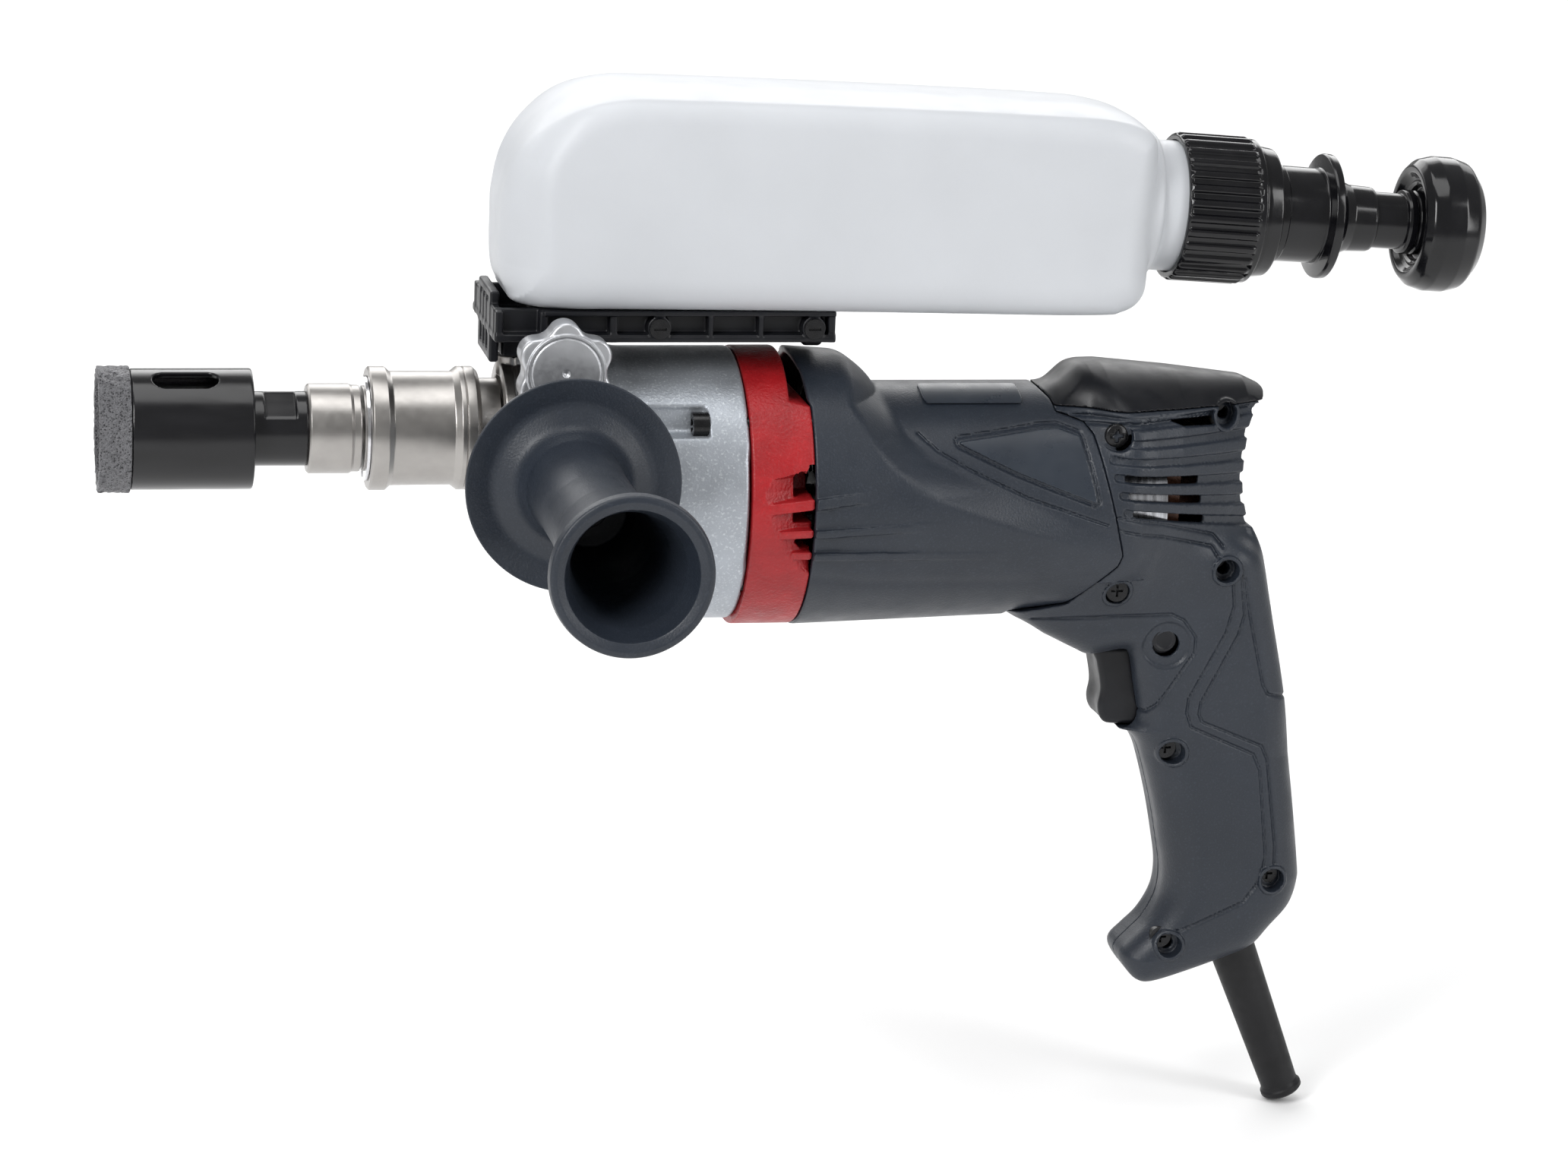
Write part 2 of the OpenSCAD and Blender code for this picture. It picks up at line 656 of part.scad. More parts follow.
// ---------- water supply ----------

// bottle body: round nose on top, flat floor on the bracket; t insets
module bottle_shape(t) {
    w = bottle_w / 2 - t;
    hull() {
        for (y = [-1, 1]) {
            translate([136, y * (w - 10), 56]) sphere(r = 12 - t, $fn = hull_fn);
            translate([142, y * (w - 12), 84]) sphere(r = 18 - t, $fn = hull_fn);
            translate([164, y * (w - 12), 94.2]) sphere(r = 17.2 - t, $fn = hull_fn);
            translate([296, y * (w - 12), 92.5]) sphere(r = 16 - t, $fn = hull_fn);
            translate([319, y * (w - 14), 90]) sphere(r = 13.6 - t, $fn = hull_fn);
            translate([319, y * (w - 10), 54.5]) sphere(r = 12.5 - t, $fn = hull_fn);
        }
    }
}

module bottle() color([0.88, 0.9, 0.93, 0.75]) difference() {
    union() {
        bottle_shape(0);
        pump_axis() rotate([0, 90, 0]) {
            translate([0, 0, -14]) cylinder(r = 24, h = 16, $fn = fine);
            translate([0, 0, 1]) cylinder(r = 21, h = 25, $fn = fine);
        }
        for (x = bottle_plugs) translate([x, 0, rail_z0 - 0.8]) cylinder(r = 2.9, h = 12, $fn = fine);
    }
    bottle_shape(bottle_wall);
    pump_axis() rotate([0, 90, 0]) translate([0, 0, -13]) cylinder(r = 18.9, h = 50, $fn = fine);
}

module pump_lathe(points) pump_axis() rotate([0, 90, 0]) rotate_extrude($fn = fine)
    polygon([for (p = points) [p[1], p[0]]]);

cap_s0 = 10;
module bottle_cap() color([0.05, 0.05, 0.055]) difference() {
    union() {
        pump_lathe([[cap_s0, 21.3], [cap_s0, 23.4], [36, 23], [38, 21.6], [42.6, 20.6], [42.6, 16.4],
            [31.4, 16.4], [31.4, 21.3]]);
        pump_axis() for (a = [0:12:348]) rotate([a, 0, 0])
            box([cap_s0, -1, 22.4], [35, 1, 24]);
    }
}

module cap_seal() color([0.1, 0.1, 0.1]) pump_lathe([[26.1, 18.95], [26.1, 20.9], [27.9, 20.9],
    [27.9, 18.95]]);

cyl_s0 = -76;
module pump_cylinder() color([0.85, 0.87, 0.9])
    pump_lathe([[cyl_s0, 12], [cyl_s0, pump_bore_r + 2], [28, pump_bore_r + 2], [28, 20.9], [31, 20.9],
        [31, pump_bore_r], [cyl_s0 + 2, pump_bore_r], [cyl_s0 + 2, 12]]);

module pump_collar() color([0.05, 0.05, 0.055])
    pump_lathe([[31.1, 9.4], [31.1, 15.8], [60.4, 15.8], [60.4, 20.3], [63.2, 20.3], [63.2, 15],
        [66, 11.4], [70, 10.6], [78, 10.35], [78, 9.4]]);

module pump_rod() color([0.05, 0.05, 0.055])
    pump_lathe([[-24, 0], [-24, 9.1], [88.6, 9.1], [88.6, 10.5], [96, 10.5], [96, 0]]);

module pump_piston() color([0.08, 0.08, 0.08])
    pump_lathe([[-31, 0], [-31, 15.6], [-29, 15.9], [-26.6, 15.9], [-24.1, 15.6], [-24.1, 0]]);

module pump_knob() color([0.05, 0.05, 0.055])
    pump_lathe([[96.1, 0], [96.1, 12], [94.5, 12.6], [91.6, 15.4], [91.2, 18], [93.5, 20.6], [98, knob_d / 2],
        [104, knob_d / 2], [109, 20.6], [112.6, 16], [114.6, 8], [115, 0]]);

bracket_bolts = [[149, -11], [149, 11]];
bottle_plugs = [180, 212];
rail_z0 = 33;
rail_z1 = 42.8;
module bottle_bracket() color([0.06, 0.06, 0.065]) difference() {
    union() {
        box([121, -27, rail_z0], [228.8, 27, rail_z0 + 2.4]);
        for (y = [-27, 24.4]) box([121, y, rail_z0], [228.8, y + 2.6, rail_z1]);
        box([121, -27, 24], [124, 27, 46.5]);
        for (x = [135, 163, 187, 203, 226.4]) box([x, -27, rail_z0], [x + 2.4, 27, rail_z1]);
        box([222, -8, 27.9], [228.8, 8, rail_z0 + 1]);
        for (y = [-27, 22]) for (x = [172.6, 221.8])
            ycyl(y, y + 5, 3.6, x, 37.4);
    }
    for (y = [-30, 20]) for (x = [172.6, 221.8]) ycyl(y, y + 10, 1.6, x, 37.4);
    box([134, -18, rail_z0 - 1], [160.5, 18, rail_z0 + 12]);
    for (x = bottle_plugs) translate([x, 0, rail_z0 - 1]) cylinder(r = 3, h = 4, $fn = fine);
}

module bracket_screws() color([0.1, 0.1, 0.1]) for (s = [-1, 1]) for (x = [172.6, 221.8]) difference() {
    union() {
        ycyl(s > 0 ? 22.5 : -26.9, s > 0 ? 26.9 : -22.5, 1.58, x, 37.4);
        ycyl(s > 0 ? 27 : -28.6, s > 0 ? 28.6 : -27, 3.2, x, 37.4);
    }
    box([x - 2, s > 0 ? 27.8 : -30, 37], [x + 2, s > 0 ? 30 : -27.8, 37.8]);
}

module valve_body() color([0.08, 0.08, 0.09]) difference() {
    union() {
        box([134.4, -17.8, pad_z + 0.1], [150.4, 17.8, 40]);
        box([150, -17.8, 26], [155.6, 17.8, 40]);
        box([134.4, -34, 21.6], [147.2, -17, 32.8]);
        box([125.8, -7, 24.2], [135, 7, 32.6]);
    }
    ycyl(-35, -20, 4, knob_x, knob_z);
    ycyl(-21, -2, 1.5, knob_x, knob_z);
    xcyl(130, knob_x, 1.5, -2.4, 28);
    xcyl(knob_x, 156, 1.5, 0, 36.6);
    translate([130, 0, 20]) cylinder(r = 2.5, h = 9, $fn = fine);
    for (p = bracket_bolts) translate([p[0], p[1], 20]) cylinder(r = 2, h = 30, $fn = fine);
}

module valve_stem() color("goldenrod") {
    ycyl(-44, -20.2, 4 - run, knob_x, knob_z);
    ycyl(-20.4, -6, 1.4, knob_x, knob_z);
}

module valve_knob() color([0.8, 0.8, 0.82]) difference() {
    union() {
        ycyl(knob_face_y, -35, 12.6, knob_x, knob_z);
        for (i = [0:5]) translate([knob_x, 0, knob_z]) rotate([0, 60 * i + 30, 0])
            ycyl(-45, -35.4, 4.6, 11, 0);
    }
    ycyl(-44.02, -30, 3.96, knob_x, knob_z);
}

module valve_fitting() color([0.62, 0.34, 0.2]) difference() {
    xcyl(155.7, 160, 4.2, 0, 36.6);
    xcyl(157, 161, 2, 0, 36.6);
}

diamond_rim();
core_bit();
bit_adapter();
chuck_body();
locking_balls();
chuck_spring();
chuck_clip();
chuck_sleeve();
water_swivel();
swivel_seals();
spindle();
spindle_gear();
spindle_bearings();
gear_case();
gear_case_screws();
bearing_plate();
countershaft();
counter_gear();
counter_bearings();
motor_housing();
armature_shaft();
armature_core();
armature_windings();
commutator();
cooling_fan();
motor_bearings();
stator_stack();
field_coils();
brush_holders();
carbon_brushes();
handle_left();
handle_right();
handle_screws();
rating_plate();
side_badges();
switch_body();
trigger();
trigger_spring();
lock_button();
cord_guard();
cord_clamp();
side_handle();
handle_stud();
bottle();
bottle_cap();
cap_seal();
pump_cylinder();
pump_collar();
pump_rod();
pump_piston();
pump_knob();
bottle_bracket();
bracket_screws();
valve_body();
valve_stem();
valve_knob();
valve_fitting();
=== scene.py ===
"""Looks of a hand-held wet core drill for tile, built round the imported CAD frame.

Casings are meshed from smooth distance fields, turned parts are lathed with filleted profiles.
Fields and profiles are in millimetres in the CAD frame; meshes are in metres.
"""

import json
import math

import bpy
import numpy as np
import openvdb
from mathutils import Matrix, Vector

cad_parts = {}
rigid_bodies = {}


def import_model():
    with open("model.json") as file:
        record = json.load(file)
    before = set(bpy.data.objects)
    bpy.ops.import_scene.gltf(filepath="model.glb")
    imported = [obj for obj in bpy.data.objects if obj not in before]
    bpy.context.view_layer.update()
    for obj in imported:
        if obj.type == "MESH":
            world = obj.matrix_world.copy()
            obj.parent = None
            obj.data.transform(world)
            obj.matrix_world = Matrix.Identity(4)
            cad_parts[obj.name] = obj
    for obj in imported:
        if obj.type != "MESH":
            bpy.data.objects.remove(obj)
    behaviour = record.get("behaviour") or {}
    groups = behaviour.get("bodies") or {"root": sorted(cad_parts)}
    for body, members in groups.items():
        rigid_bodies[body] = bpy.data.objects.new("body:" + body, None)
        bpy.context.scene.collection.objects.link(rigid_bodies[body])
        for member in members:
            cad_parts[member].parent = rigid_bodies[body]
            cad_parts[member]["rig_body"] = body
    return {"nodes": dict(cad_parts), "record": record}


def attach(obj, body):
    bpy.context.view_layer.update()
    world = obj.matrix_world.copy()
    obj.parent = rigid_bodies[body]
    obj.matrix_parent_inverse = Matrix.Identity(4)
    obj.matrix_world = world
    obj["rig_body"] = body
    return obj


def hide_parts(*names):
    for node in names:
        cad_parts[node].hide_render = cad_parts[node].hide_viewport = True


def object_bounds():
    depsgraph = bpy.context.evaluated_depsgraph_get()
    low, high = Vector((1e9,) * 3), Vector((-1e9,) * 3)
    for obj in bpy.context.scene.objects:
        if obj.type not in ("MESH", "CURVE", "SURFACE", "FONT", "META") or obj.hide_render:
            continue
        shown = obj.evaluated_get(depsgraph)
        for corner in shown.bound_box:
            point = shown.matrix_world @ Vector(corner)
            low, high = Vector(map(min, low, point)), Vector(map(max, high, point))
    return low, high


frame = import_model()
cad_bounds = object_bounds()
MM = 0.001


# ---------- distance field toolkit ----------

def smin(a, b, k):
    """Union of two fields, blended over about k mm."""
    h = np.clip(0.5 + 0.5 * (b - a) / k, 0, 1)
    return b * (1 - h) + a * h - k * h * (1 - h)


def smax(a, b, k):
    """Intersection of two fields, blended over about k mm."""
    return -smin(-a, -b, k)


def cut(a, b, k=0.5):
    """Field a with field b taken away."""
    return smax(a, -b, k)


def round_meet(a, b, r):
    """Intersection of two fields whose shared edge is an arc of radius r."""
    u, v = a + r, b + r
    return np.minimum(np.maximum(u, v), 0) + np.hypot(np.maximum(u, 0), np.maximum(v, 0)) - r


def step01(t):
    """Smooth step from 0 to 1 as t runs from 0 to 1."""
    t = np.clip(t, 0, 1)
    return t * t * (3 - 2 * t)


def slab(v, lo, hi):
    """Field of lo < v < hi."""
    return np.maximum(lo - v, v - hi)


def rod(u, v, r):
    """Field of an endless rod; u and v are distances from its axis."""
    return np.hypot(u, v) - r


def block(x, y, z, lo, hi, r=1.0):
    """Field of a box from corner lo to corner hi with edges of radius r."""
    q = [np.maximum(a - v, v - b) + r for v, a, b in zip((x, y, z), lo, hi)]
    outside = np.sqrt(sum(np.maximum(k, 0) ** 2 for k in q))
    return outside + np.minimum(np.maximum(np.maximum(q[0], q[1]), q[2]), 0) - r


def near_path(u, v, path):
    """Distance from (u, v) to a polyline."""
    best = np.full(np.shape(u), 1e9)
    for (ax, ay), (bx, by) in zip(path, path[1:]):
        dx, dy = bx - ax, by - ay
        t = np.clip(((u - ax) * dx + (v - ay) * dy) / (dx * dx + dy * dy), 0, 1)
        best = np.minimum(best, np.hypot(u - ax - t * dx, v - ay - t * dy))
    return best


def groove(u, v, path, depth=0.5, width=0.45):
    """How much a thin groove along a polyline lowers the surface."""
    return depth * np.exp(-((near_path(u, v, path) / width) ** 2))


def spline(points, steps=8, closed=True):
    """Catmull-Rom curve through the points."""
    p = np.array(points, float)
    n = len(p)
    out = []
    for i in range(n if closed else n - 1):
        a, b, c, d = (p[(i + k) % n] if closed else p[min(max(i + k, 0), n - 1)] for k in (-1, 0, 1, 2))
        for j in range(steps):
            t = j / steps
            out.append(0.5 * (2 * b + (c - a) * t + (2 * a - 5 * b + 4 * c - d) * t * t
                              + (3 * b - a - 3 * c + d) * t ** 3))
    if not closed:
        out.append(p[-1])
    return np.array(out)


class Outline:
    """Signed distance to a closed 2-D outline, sampled once on a grid so that it is quick to read."""

    def __init__(self, points, pad=30, cell=0.5):
        self.cell = cell
        self.lo = points.min(0) - pad
        shape = np.ceil((points.max(0) + pad - self.lo) / cell).astype(int) + 1
        u, v = np.meshgrid(*(self.lo[k] + cell * np.arange(shape[k]) for k in (0, 1)), indexing="ij")
        ring = np.vstack([points, points[:1]])
        inside = np.zeros(u.shape, bool)
        for (ax, ay), (bx, by) in zip(ring, ring[1:]):
            if ay != by:
                crosses = (ay > v) != (by > v)
                inside ^= crosses & (u < (bx - ax) * (v - ay) / (by - ay) + ax)
        self.grid = near_path(u, v, ring) * np.where(inside, -1, 1)

    def __call__(self, u, v):
        limit = np.array(self.grid.shape) - 1.001
        a = np.clip((u - self.lo[0]) / self.cell, 0, limit[0])
        b = np.clip((v - self.lo[1]) / self.cell, 0, limit[1])
        i, j = a.astype(int), b.astype(int)
        a, b = a - i, b - j
        g = self.grid
        return (g[i, j] * (1 - a) * (1 - b) + g[i + 1, j] * a * (1 - b)
                + g[i, j + 1] * (1 - a) * b + g[i + 1, j + 1] * a * b)


def gradient(field, p, h=0.06):
    """Slope of the field at the points p."""
    out = np.empty_like(p)
    for k in range(3):
        d = np.zeros(3)
        d[k] = h
        up, down = p + d, p - d
        out[:, k] = (field(*up.T) - field(*down.T)) / (2 * h)
    return out


BLOCK = 8  # cells along each side of a block
HALF_DIAGONAL = 0.87  # of a cube with sides of 1
STEEPEST = 1.5  # no field changes much faster than this per millimetre


def sample(field, lo, hi, cell):
    """The field on a grid, worked out only in blocks near its surface."""
    lo = np.array(lo, float) - 2 * cell
    blocks = np.ceil((np.array(hi, float) + 2 * cell - lo) / cell / BLOCK).astype(int)
    ids = np.stack(np.meshgrid(*map(np.arange, blocks), indexing="ij"), -1).reshape(-1, 3)
    centres = lo + (ids * BLOCK + (BLOCK - 1) / 2) * cell
    middle = field(*centres.T)
    reach = BLOCK * cell * HALF_DIAGONAL * STEEPEST + 1.5
    near = np.abs(middle) < reach
    values = np.broadcast_to(np.sign(middle)[:, None, None, None] * 3 * cell,
                             (len(ids), BLOCK, BLOCK, BLOCK)).astype(np.float32)
    inner = np.stack(np.meshgrid(*[np.arange(BLOCK)] * 3, indexing="ij"), -1)
    active = np.flatnonzero(near)
    for chunk in np.array_split(active, max(1, len(active) // 400)):
        p = lo + (ids[chunk][:, None, None, None] * BLOCK + inner) * cell
        values[chunk] = field(*p.reshape(-1, 3).T).reshape(p.shape[:-1])
    grid = values.reshape(*blocks, BLOCK, BLOCK, BLOCK).transpose(0, 3, 1, 4, 2, 5)
    return lo, np.clip(grid.reshape(blocks * BLOCK), -3 * cell, 3 * cell)


def add_mesh(name, points_mm, faces, normals=None):
    """An object in metres from points in millimetres."""
    mesh = bpy.data.meshes.new(name)
    mesh.from_pydata((np.asarray(points_mm) * MM).tolist(), [], faces)
    mesh.validate()
    mesh.shade_smooth()
    if normals is not None:
        mesh.normals_split_custom_set_from_vertices(normals.tolist())
    obj = bpy.data.objects.new(name, mesh)
    bpy.context.scene.collection.objects.link(obj)
    return obj


def solid(name, field, lo, hi, cell=0.6):
    """Mesh of the places where field(x, y, z) is below 0, with normals from the field itself."""
    start, grid = sample(field, lo, hi, cell)
    volume = openvdb.FloatGrid(3 * cell)
    volume.copyFromArray(grid.astype(np.float32))
    points, tris, quads = volume.convertToPolygons(isovalue=0.0, adaptivity=0.0)
    p = points.astype(float) * cell + start
    for _ in range(3):
        slope = gradient(field, p)
        size = np.maximum((slope ** 2).sum(1), 0.05)
        move = slope * (field(*p.T) / size)[:, None]
        p -= move * np.minimum(1, 0.5 * cell / np.maximum(np.linalg.norm(move, axis=1), 1e-9))[:, None]
    slope = gradient(field, p)
    normals = slope / np.maximum(np.linalg.norm(slope, axis=1), 1e-9)[:, None]
    faces = [q.tolist() for q in (quads, tris) if len(q)]
    faces = [f for group in faces for f in group]
    corner = np.array([f[:3] for f in faces[:2000]])
    a, b, c = p[corner[:, 0]], p[corner[:, 1]], p[corner[:, 2]]
    if (np.cross(b - a, c - a) * normals[corner[:, 0]]).sum() < 0:
        faces = [f[::-1] for f in faces]
    return add_mesh(name, p, faces, normals)


# ---------- turned parts ----------

def filleted(profile, r):
    """The closed profile with each corner off the axis turned into an arc of radius r."""
    out = []
    n = len(profile)
    for i in range(n):
        p = np.array(profile[i][:2], float)
        a = np.array(profile[i - 1][:2], float) - p
        b = np.array(profile[(i + 1) % n][:2], float) - p
        la, lb = np.linalg.norm(a), np.linalg.norm(b)
        own = profile[i][2] if len(profile[i]) > 2 else r
        if p[1] < 1e-6 or own <= 0:
            out.append(p)
            continue
        a, b = a / la, b / lb
        half = math.acos(float(np.clip(a @ b, -1, 1))) / 2
        reach = min(own / max(math.tan(half), 1e-6), 0.45 * la, 0.45 * lb)
        start, end = p + a * reach, p + b * reach
        count = 5
        for k in range(count + 1):
            t = k / count
            out.append((1 - t) ** 2 * start + 2 * t * (1 - t) * p + t * t * end)
    return np.array(out)


def turned(name, profile, origin=(0, 0, 0), along=(1, 0, 0), r=0.4, segments=128):
    """A turned part: the profile [(distance along the axis, radius[, fillet])] swept round its axis."""
    ring = filleted(profile, r)
    axis = Vector(along).normalized()
    side = axis.orthogonal().normalized()
    other = axis.cross(side)
    frame3 = np.array([axis, side, other])
    angles = np.arange(segments) * math.tau / segments
    points, rows = [], []
    for s, radius in ring:
        if radius < 1e-6:
            rows.append([len(points)] * segments)
            points.append([s, 0, 0])
        else:
            rows.append(list(range(len(points), len(points) + segments)))
            points += [[s, radius * math.cos(a), radius * math.sin(a)] for a in angles]
    faces = []
    for i, row in enumerate(rows):
        nxt = rows[(i + 1) % len(rows)]
        if row[0] == row[1] and nxt[0] == nxt[1]:
            continue
        for k in range(segments):
            quad = [row[k], row[(k + 1) % segments], nxt[(k + 1) % segments], nxt[k]]
            faces.append(list(dict.fromkeys(quad)))
    shoelace = sum(a[0] * b[1] - b[0] * a[1] for a, b in zip(ring, np.roll(ring, -1, 0)))
    if shoelace > 0:
        faces = [f[::-1] for f in faces]
    obj = add_mesh(name, np.array(points) @ frame3 + np.array(origin), faces)
    obj.data.set_sharp_from_angle(angle=math.radians(35))
    return obj


# ---------- materials ----------

def texture(tree, kind, size_mm, stretch=(1, 1, 1), detail=3.0):
    """A noise or voronoi texture in object space with features of about size_mm."""
    coords = tree.nodes.new("ShaderNodeTexCoord")
    mapping = tree.nodes.new("ShaderNodeMapping")
    mapping.inputs["Scale"].default_value = [s / (size_mm * MM) for s in stretch]
    node = tree.nodes.new(kind)
    node.inputs["Scale"].default_value = 1.0
    if "Detail" in node.inputs:
        node.inputs["Detail"].default_value = detail
    tree.links.new(coords.outputs["Object"], mapping.inputs["Vector"])
    tree.links.new(mapping.outputs["Vector"], node.inputs["Vector"])
    return node.outputs[0] if kind == "ShaderNodeTexNoise" else node.outputs["Distance"]


def remap(tree, value, lo, hi, start=0.3, end=0.7):
    """value, which runs from start to end, brought to lo..hi."""
    node = tree.nodes.new("ShaderNodeMapRange")
    for name, v in (("From Min", start), ("From Max", end), ("To Min", lo), ("To Max", hi)):
        node.inputs[name].default_value = v
    tree.links.new(value, node.inputs["Value"])
    return node.outputs["Result"]


def blend_colour(tree, factor, a, b):
    """Colour between a and b by factor."""
    node = tree.nodes.new("ShaderNodeMix")
    node.data_type = "RGBA"
    for socket, v in (("A", a), ("B", b)):
        inp = [i for i in node.inputs if i.name == socket and i.type == "RGBA"][0]
        if isinstance(v, tuple):
            inp.default_value = (*v, 1)
        else:
            tree.links.new(v, inp)
    tree.links.new(factor, node.inputs["Factor"])
    return [o for o in node.outputs if o.type == "RGBA"][0]


def surface(name, colour, rough, metallic=0.0, vary=0.12, mottle_mm=18, grain_mm=0.5, bump_mm=0.02,
            stretch=(1, 1, 1), grain_kind="ShaderNodeTexNoise", specks=0.0, rough_vary=0.06, **fixed):
    """A material with mottled colour, fine specks, uneven roughness and a fine bump."""
    mat = bpy.data.materials.new(name)
    mat.use_nodes = True
    tree = mat.node_tree
    shader = tree.nodes["Principled BSDF"]
    dark = tuple(c * (1 - vary) for c in colour)
    light = tuple(min(1, c * (1 + vary)) for c in colour)
    mottle = texture(tree, "ShaderNodeTexNoise", mottle_mm, stretch)
    grain = texture(tree, grain_kind, grain_mm, stretch, 2.0)
    base = blend_colour(tree, remap(tree, mottle, 0, 1), dark, light)
    if specks:
        spot = tuple(min(1, c * (1 + 4 * specks) + 0.02 * specks) for c in colour)
        base = blend_colour(tree, remap(tree, grain, 0, specks, 0.55, 0.8), base, spot)
    tree.links.new(base, shader.inputs["Base Color"])
    uneven = texture(tree, "ShaderNodeTexNoise", mottle_mm * 0.4, stretch)
    tree.links.new(remap(tree, uneven, rough - rough_vary, rough + rough_vary), shader.inputs["Roughness"])
    shader.inputs["Metallic"].default_value = metallic
    for socket, value in fixed.items():
        shader.inputs[socket.replace("_", " ")].default_value = value
    bump = tree.nodes.new("ShaderNodeBump")
    bump.inputs["Strength"].default_value = 1.0
    bump.inputs["Distance"].default_value = bump_mm * MM
    tree.links.new(grain, bump.inputs["Height"])
    tree.links.new(bump.outputs["Normal"], shader.inputs["Normal"])
    return mat


RINGS = (1, 0.004, 0.004)  # lines round a part turned about X
materials = {
    "nickel": surface("nickel", (0.37, 0.355, 0.34), 0.33, 1.0, 0.05, 6, 0.5, 0.006, rough_vary=0.03),
    "black_steel": surface("black_steel", (0.006, 0.006, 0.007), 0.2, 0.0, 0.4, 9, 0.3, 0.004,
                           (0.25, 1, 1), Specular_IOR_Level=0.4),
    "diamond": surface("diamond", (0.03, 0.03, 0.032), 0.45, 0.3, 0.6, 1.0, 0.8, 0.9,
                       grain_kind="ShaderNodeTexVoronoi", specks=1.0, rough_vary=0.25),
    "steel": surface("steel", (0.5, 0.5, 0.52), 0.28, 1.0, 0.08, 4, 0.3, 0.004, RINGS),
    "spring_steel": surface("spring_steel", (0.68, 0.68, 0.7), 0.16, 1.0, 0.05, 3, 0.3, 0.002),
    "cast_aluminium": surface("cast_aluminium", (0.36, 0.385, 0.42), 0.42, 0.6, 0.08, 14, 0.8, 0.11,
                              specks=0.4),
    "red_paint": surface("red_paint", (0.29, 0.009, 0.012), 0.4, 0.0, 0.14, 10, 1.1, 0.3, specks=0.25,
                         Specular_IOR_Level=0.4),
    "charcoal_plastic": surface("charcoal_plastic", (0.015, 0.0195, 0.028), 0.42, 0.0, 0.1, 25, 0.7,
                                0.09, specks=0.35, Specular_IOR_Level=0.42),
    "black_plastic": surface("black_plastic", (0.0055, 0.006, 0.008), 0.4, 0.0, 0.25, 15, 0.4, 0.02,
                             specks=0.1, Specular_IOR_Level=0.3),
    "gloss_black": surface("gloss_black", (0.004, 0.004, 0.005), 0.15, 0.0, 0.3, 12, 1.5, 0.006,
                           rough_vary=0.05, Specular_IOR_Level=0.4),
    "rubber": surface("rubber", (0.006, 0.006, 0.007), 0.5, 0.0, 0.3, 8, 0.3, 0.012, Specular_IOR_Level=0.3),
    "milky_plastic": surface("milky_plastic", (0.68, 0.7, 0.73), 0.4, 0.0, 0.02, 30, 1.2, 0.01,
                             Transmission_Weight=0.3, IOR=1.35),
    "knob_aluminium": surface("knob_aluminium", (0.5, 0.51, 0.53), 0.36, 0.8, 0.05, 4, 0.25, 0.01),
    "copper": surface("copper", (0.05, 0.018, 0.008), 0.3, 0.5, 0.3, 2, 0.6, 0.08, (1, 0.1, 1)),
    "brass": surface("brass", (0.56, 0.4, 0.16), 0.3, 1.0, 0.1, 4, 0.3, 0.006),
    "lamination": surface("lamination", (0.56, 0.57, 0.6), 0.22, 1.0, 0.45, 1.3, 0.5, 0.05, (1, 0.02, 0.02)),
    "carbon": surface("carbon", (0.015, 0.015, 0.015), 0.55, 0.0, 0.3, 3, 0.3, 0.01),
    "black_screw": surface("black_screw", (0.012, 0.012, 0.013), 0.26, 0.5, 0.3, 3, 0.3, 0.008),
    "label": surface("label", (0.022, 0.028, 0.038), 0.3, 0.0, 0.08, 20, 0.25, 0.004,
                     Specular_IOR_Level=0.4),
}

slot_of = {part["node"]: part["material_slot"] for part in frame["record"]["subparts"]}
for node, obj in frame["nodes"].items():
    obj.data.materials.clear()
    obj.data.materials.append(materials[slot_of[node]])


def show(obj, slot, *nodes, body=None):
    """Finish a piece: its material, the CAD nodes that it stands for, and the body it rides on."""
    obj.data.materials.append(materials[slot])
    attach(obj, body or frame["nodes"][nodes[0]]["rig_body"])
    if nodes:
        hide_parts(*nodes)
    return obj


# ---------- motor housing and bearing plate ----------

CASE_X0, CASE_X1, PLATE_X1 = 134.1, 200.8, 221.0  # gear case front, red plate front, housing front
CASE_Z, PLATE_Z, FLANGE_Z, BARREL_Z = -18, -18.9, -19.2, -24  # heights of the casings' own axes
BARREL_R = 38.4
COUNTER_Y, COUNTER_Z = 19.469, -19.422  # countershaft axis
WALL = 2.6
SLOPE_Z = [-46, -34.5, -25, -14, -4.5, 3, 13.5, 27]
SLOPE_FRONT = [358, 319, 287.6, 259, 246.5, 240.5, 234.5, 236]
SLOPE_REAR = [385, 340, 311, 285, 261.5, 252.2, 246.5, 257]
# side fins: start x, z there, slope, end x on the housing, half height
FINS = [(206, -17.0, 0.115, 240, 1.7), (209.5, -25.3, 0.04, 256, 1.3), (214, -32.2, -0.02, 280, 1.3)]
SCOOP_Z = [-39, -37, -32, -25, -16, -11.5, -7.5, -4.6]
SCOOP_X = [221, 217, 212.4, 208.2, 205.6, 205, 207, 219.8]


def flange(x, y, z):
    """Big front section of the housing, which tapers slowly towards the rear."""
    t = np.clip((x - PLATE_X1) / 79, -0.3, 1.4)
    return np.hypot(y, z - FLANGE_Z + 1.3 * t) - (44.9 - 3.9 * t)


def barrel(x, y, z):
    """The housing: the big section falls to a slim barrel along an S-shaped slope on each side."""
    slim = rod(y, z - BARREL_Z, BARREL_R)
    front = np.interp(z, SLOPE_Z, SLOPE_FRONT)
    rear = np.interp(z, SLOPE_Z, SLOPE_REAR)
    s = smax(smin((x - front) / (rear - front), 1.0, 0.14), 0.0, 0.14)
    return flange(x, y, z) * (1 - s) + slim * s


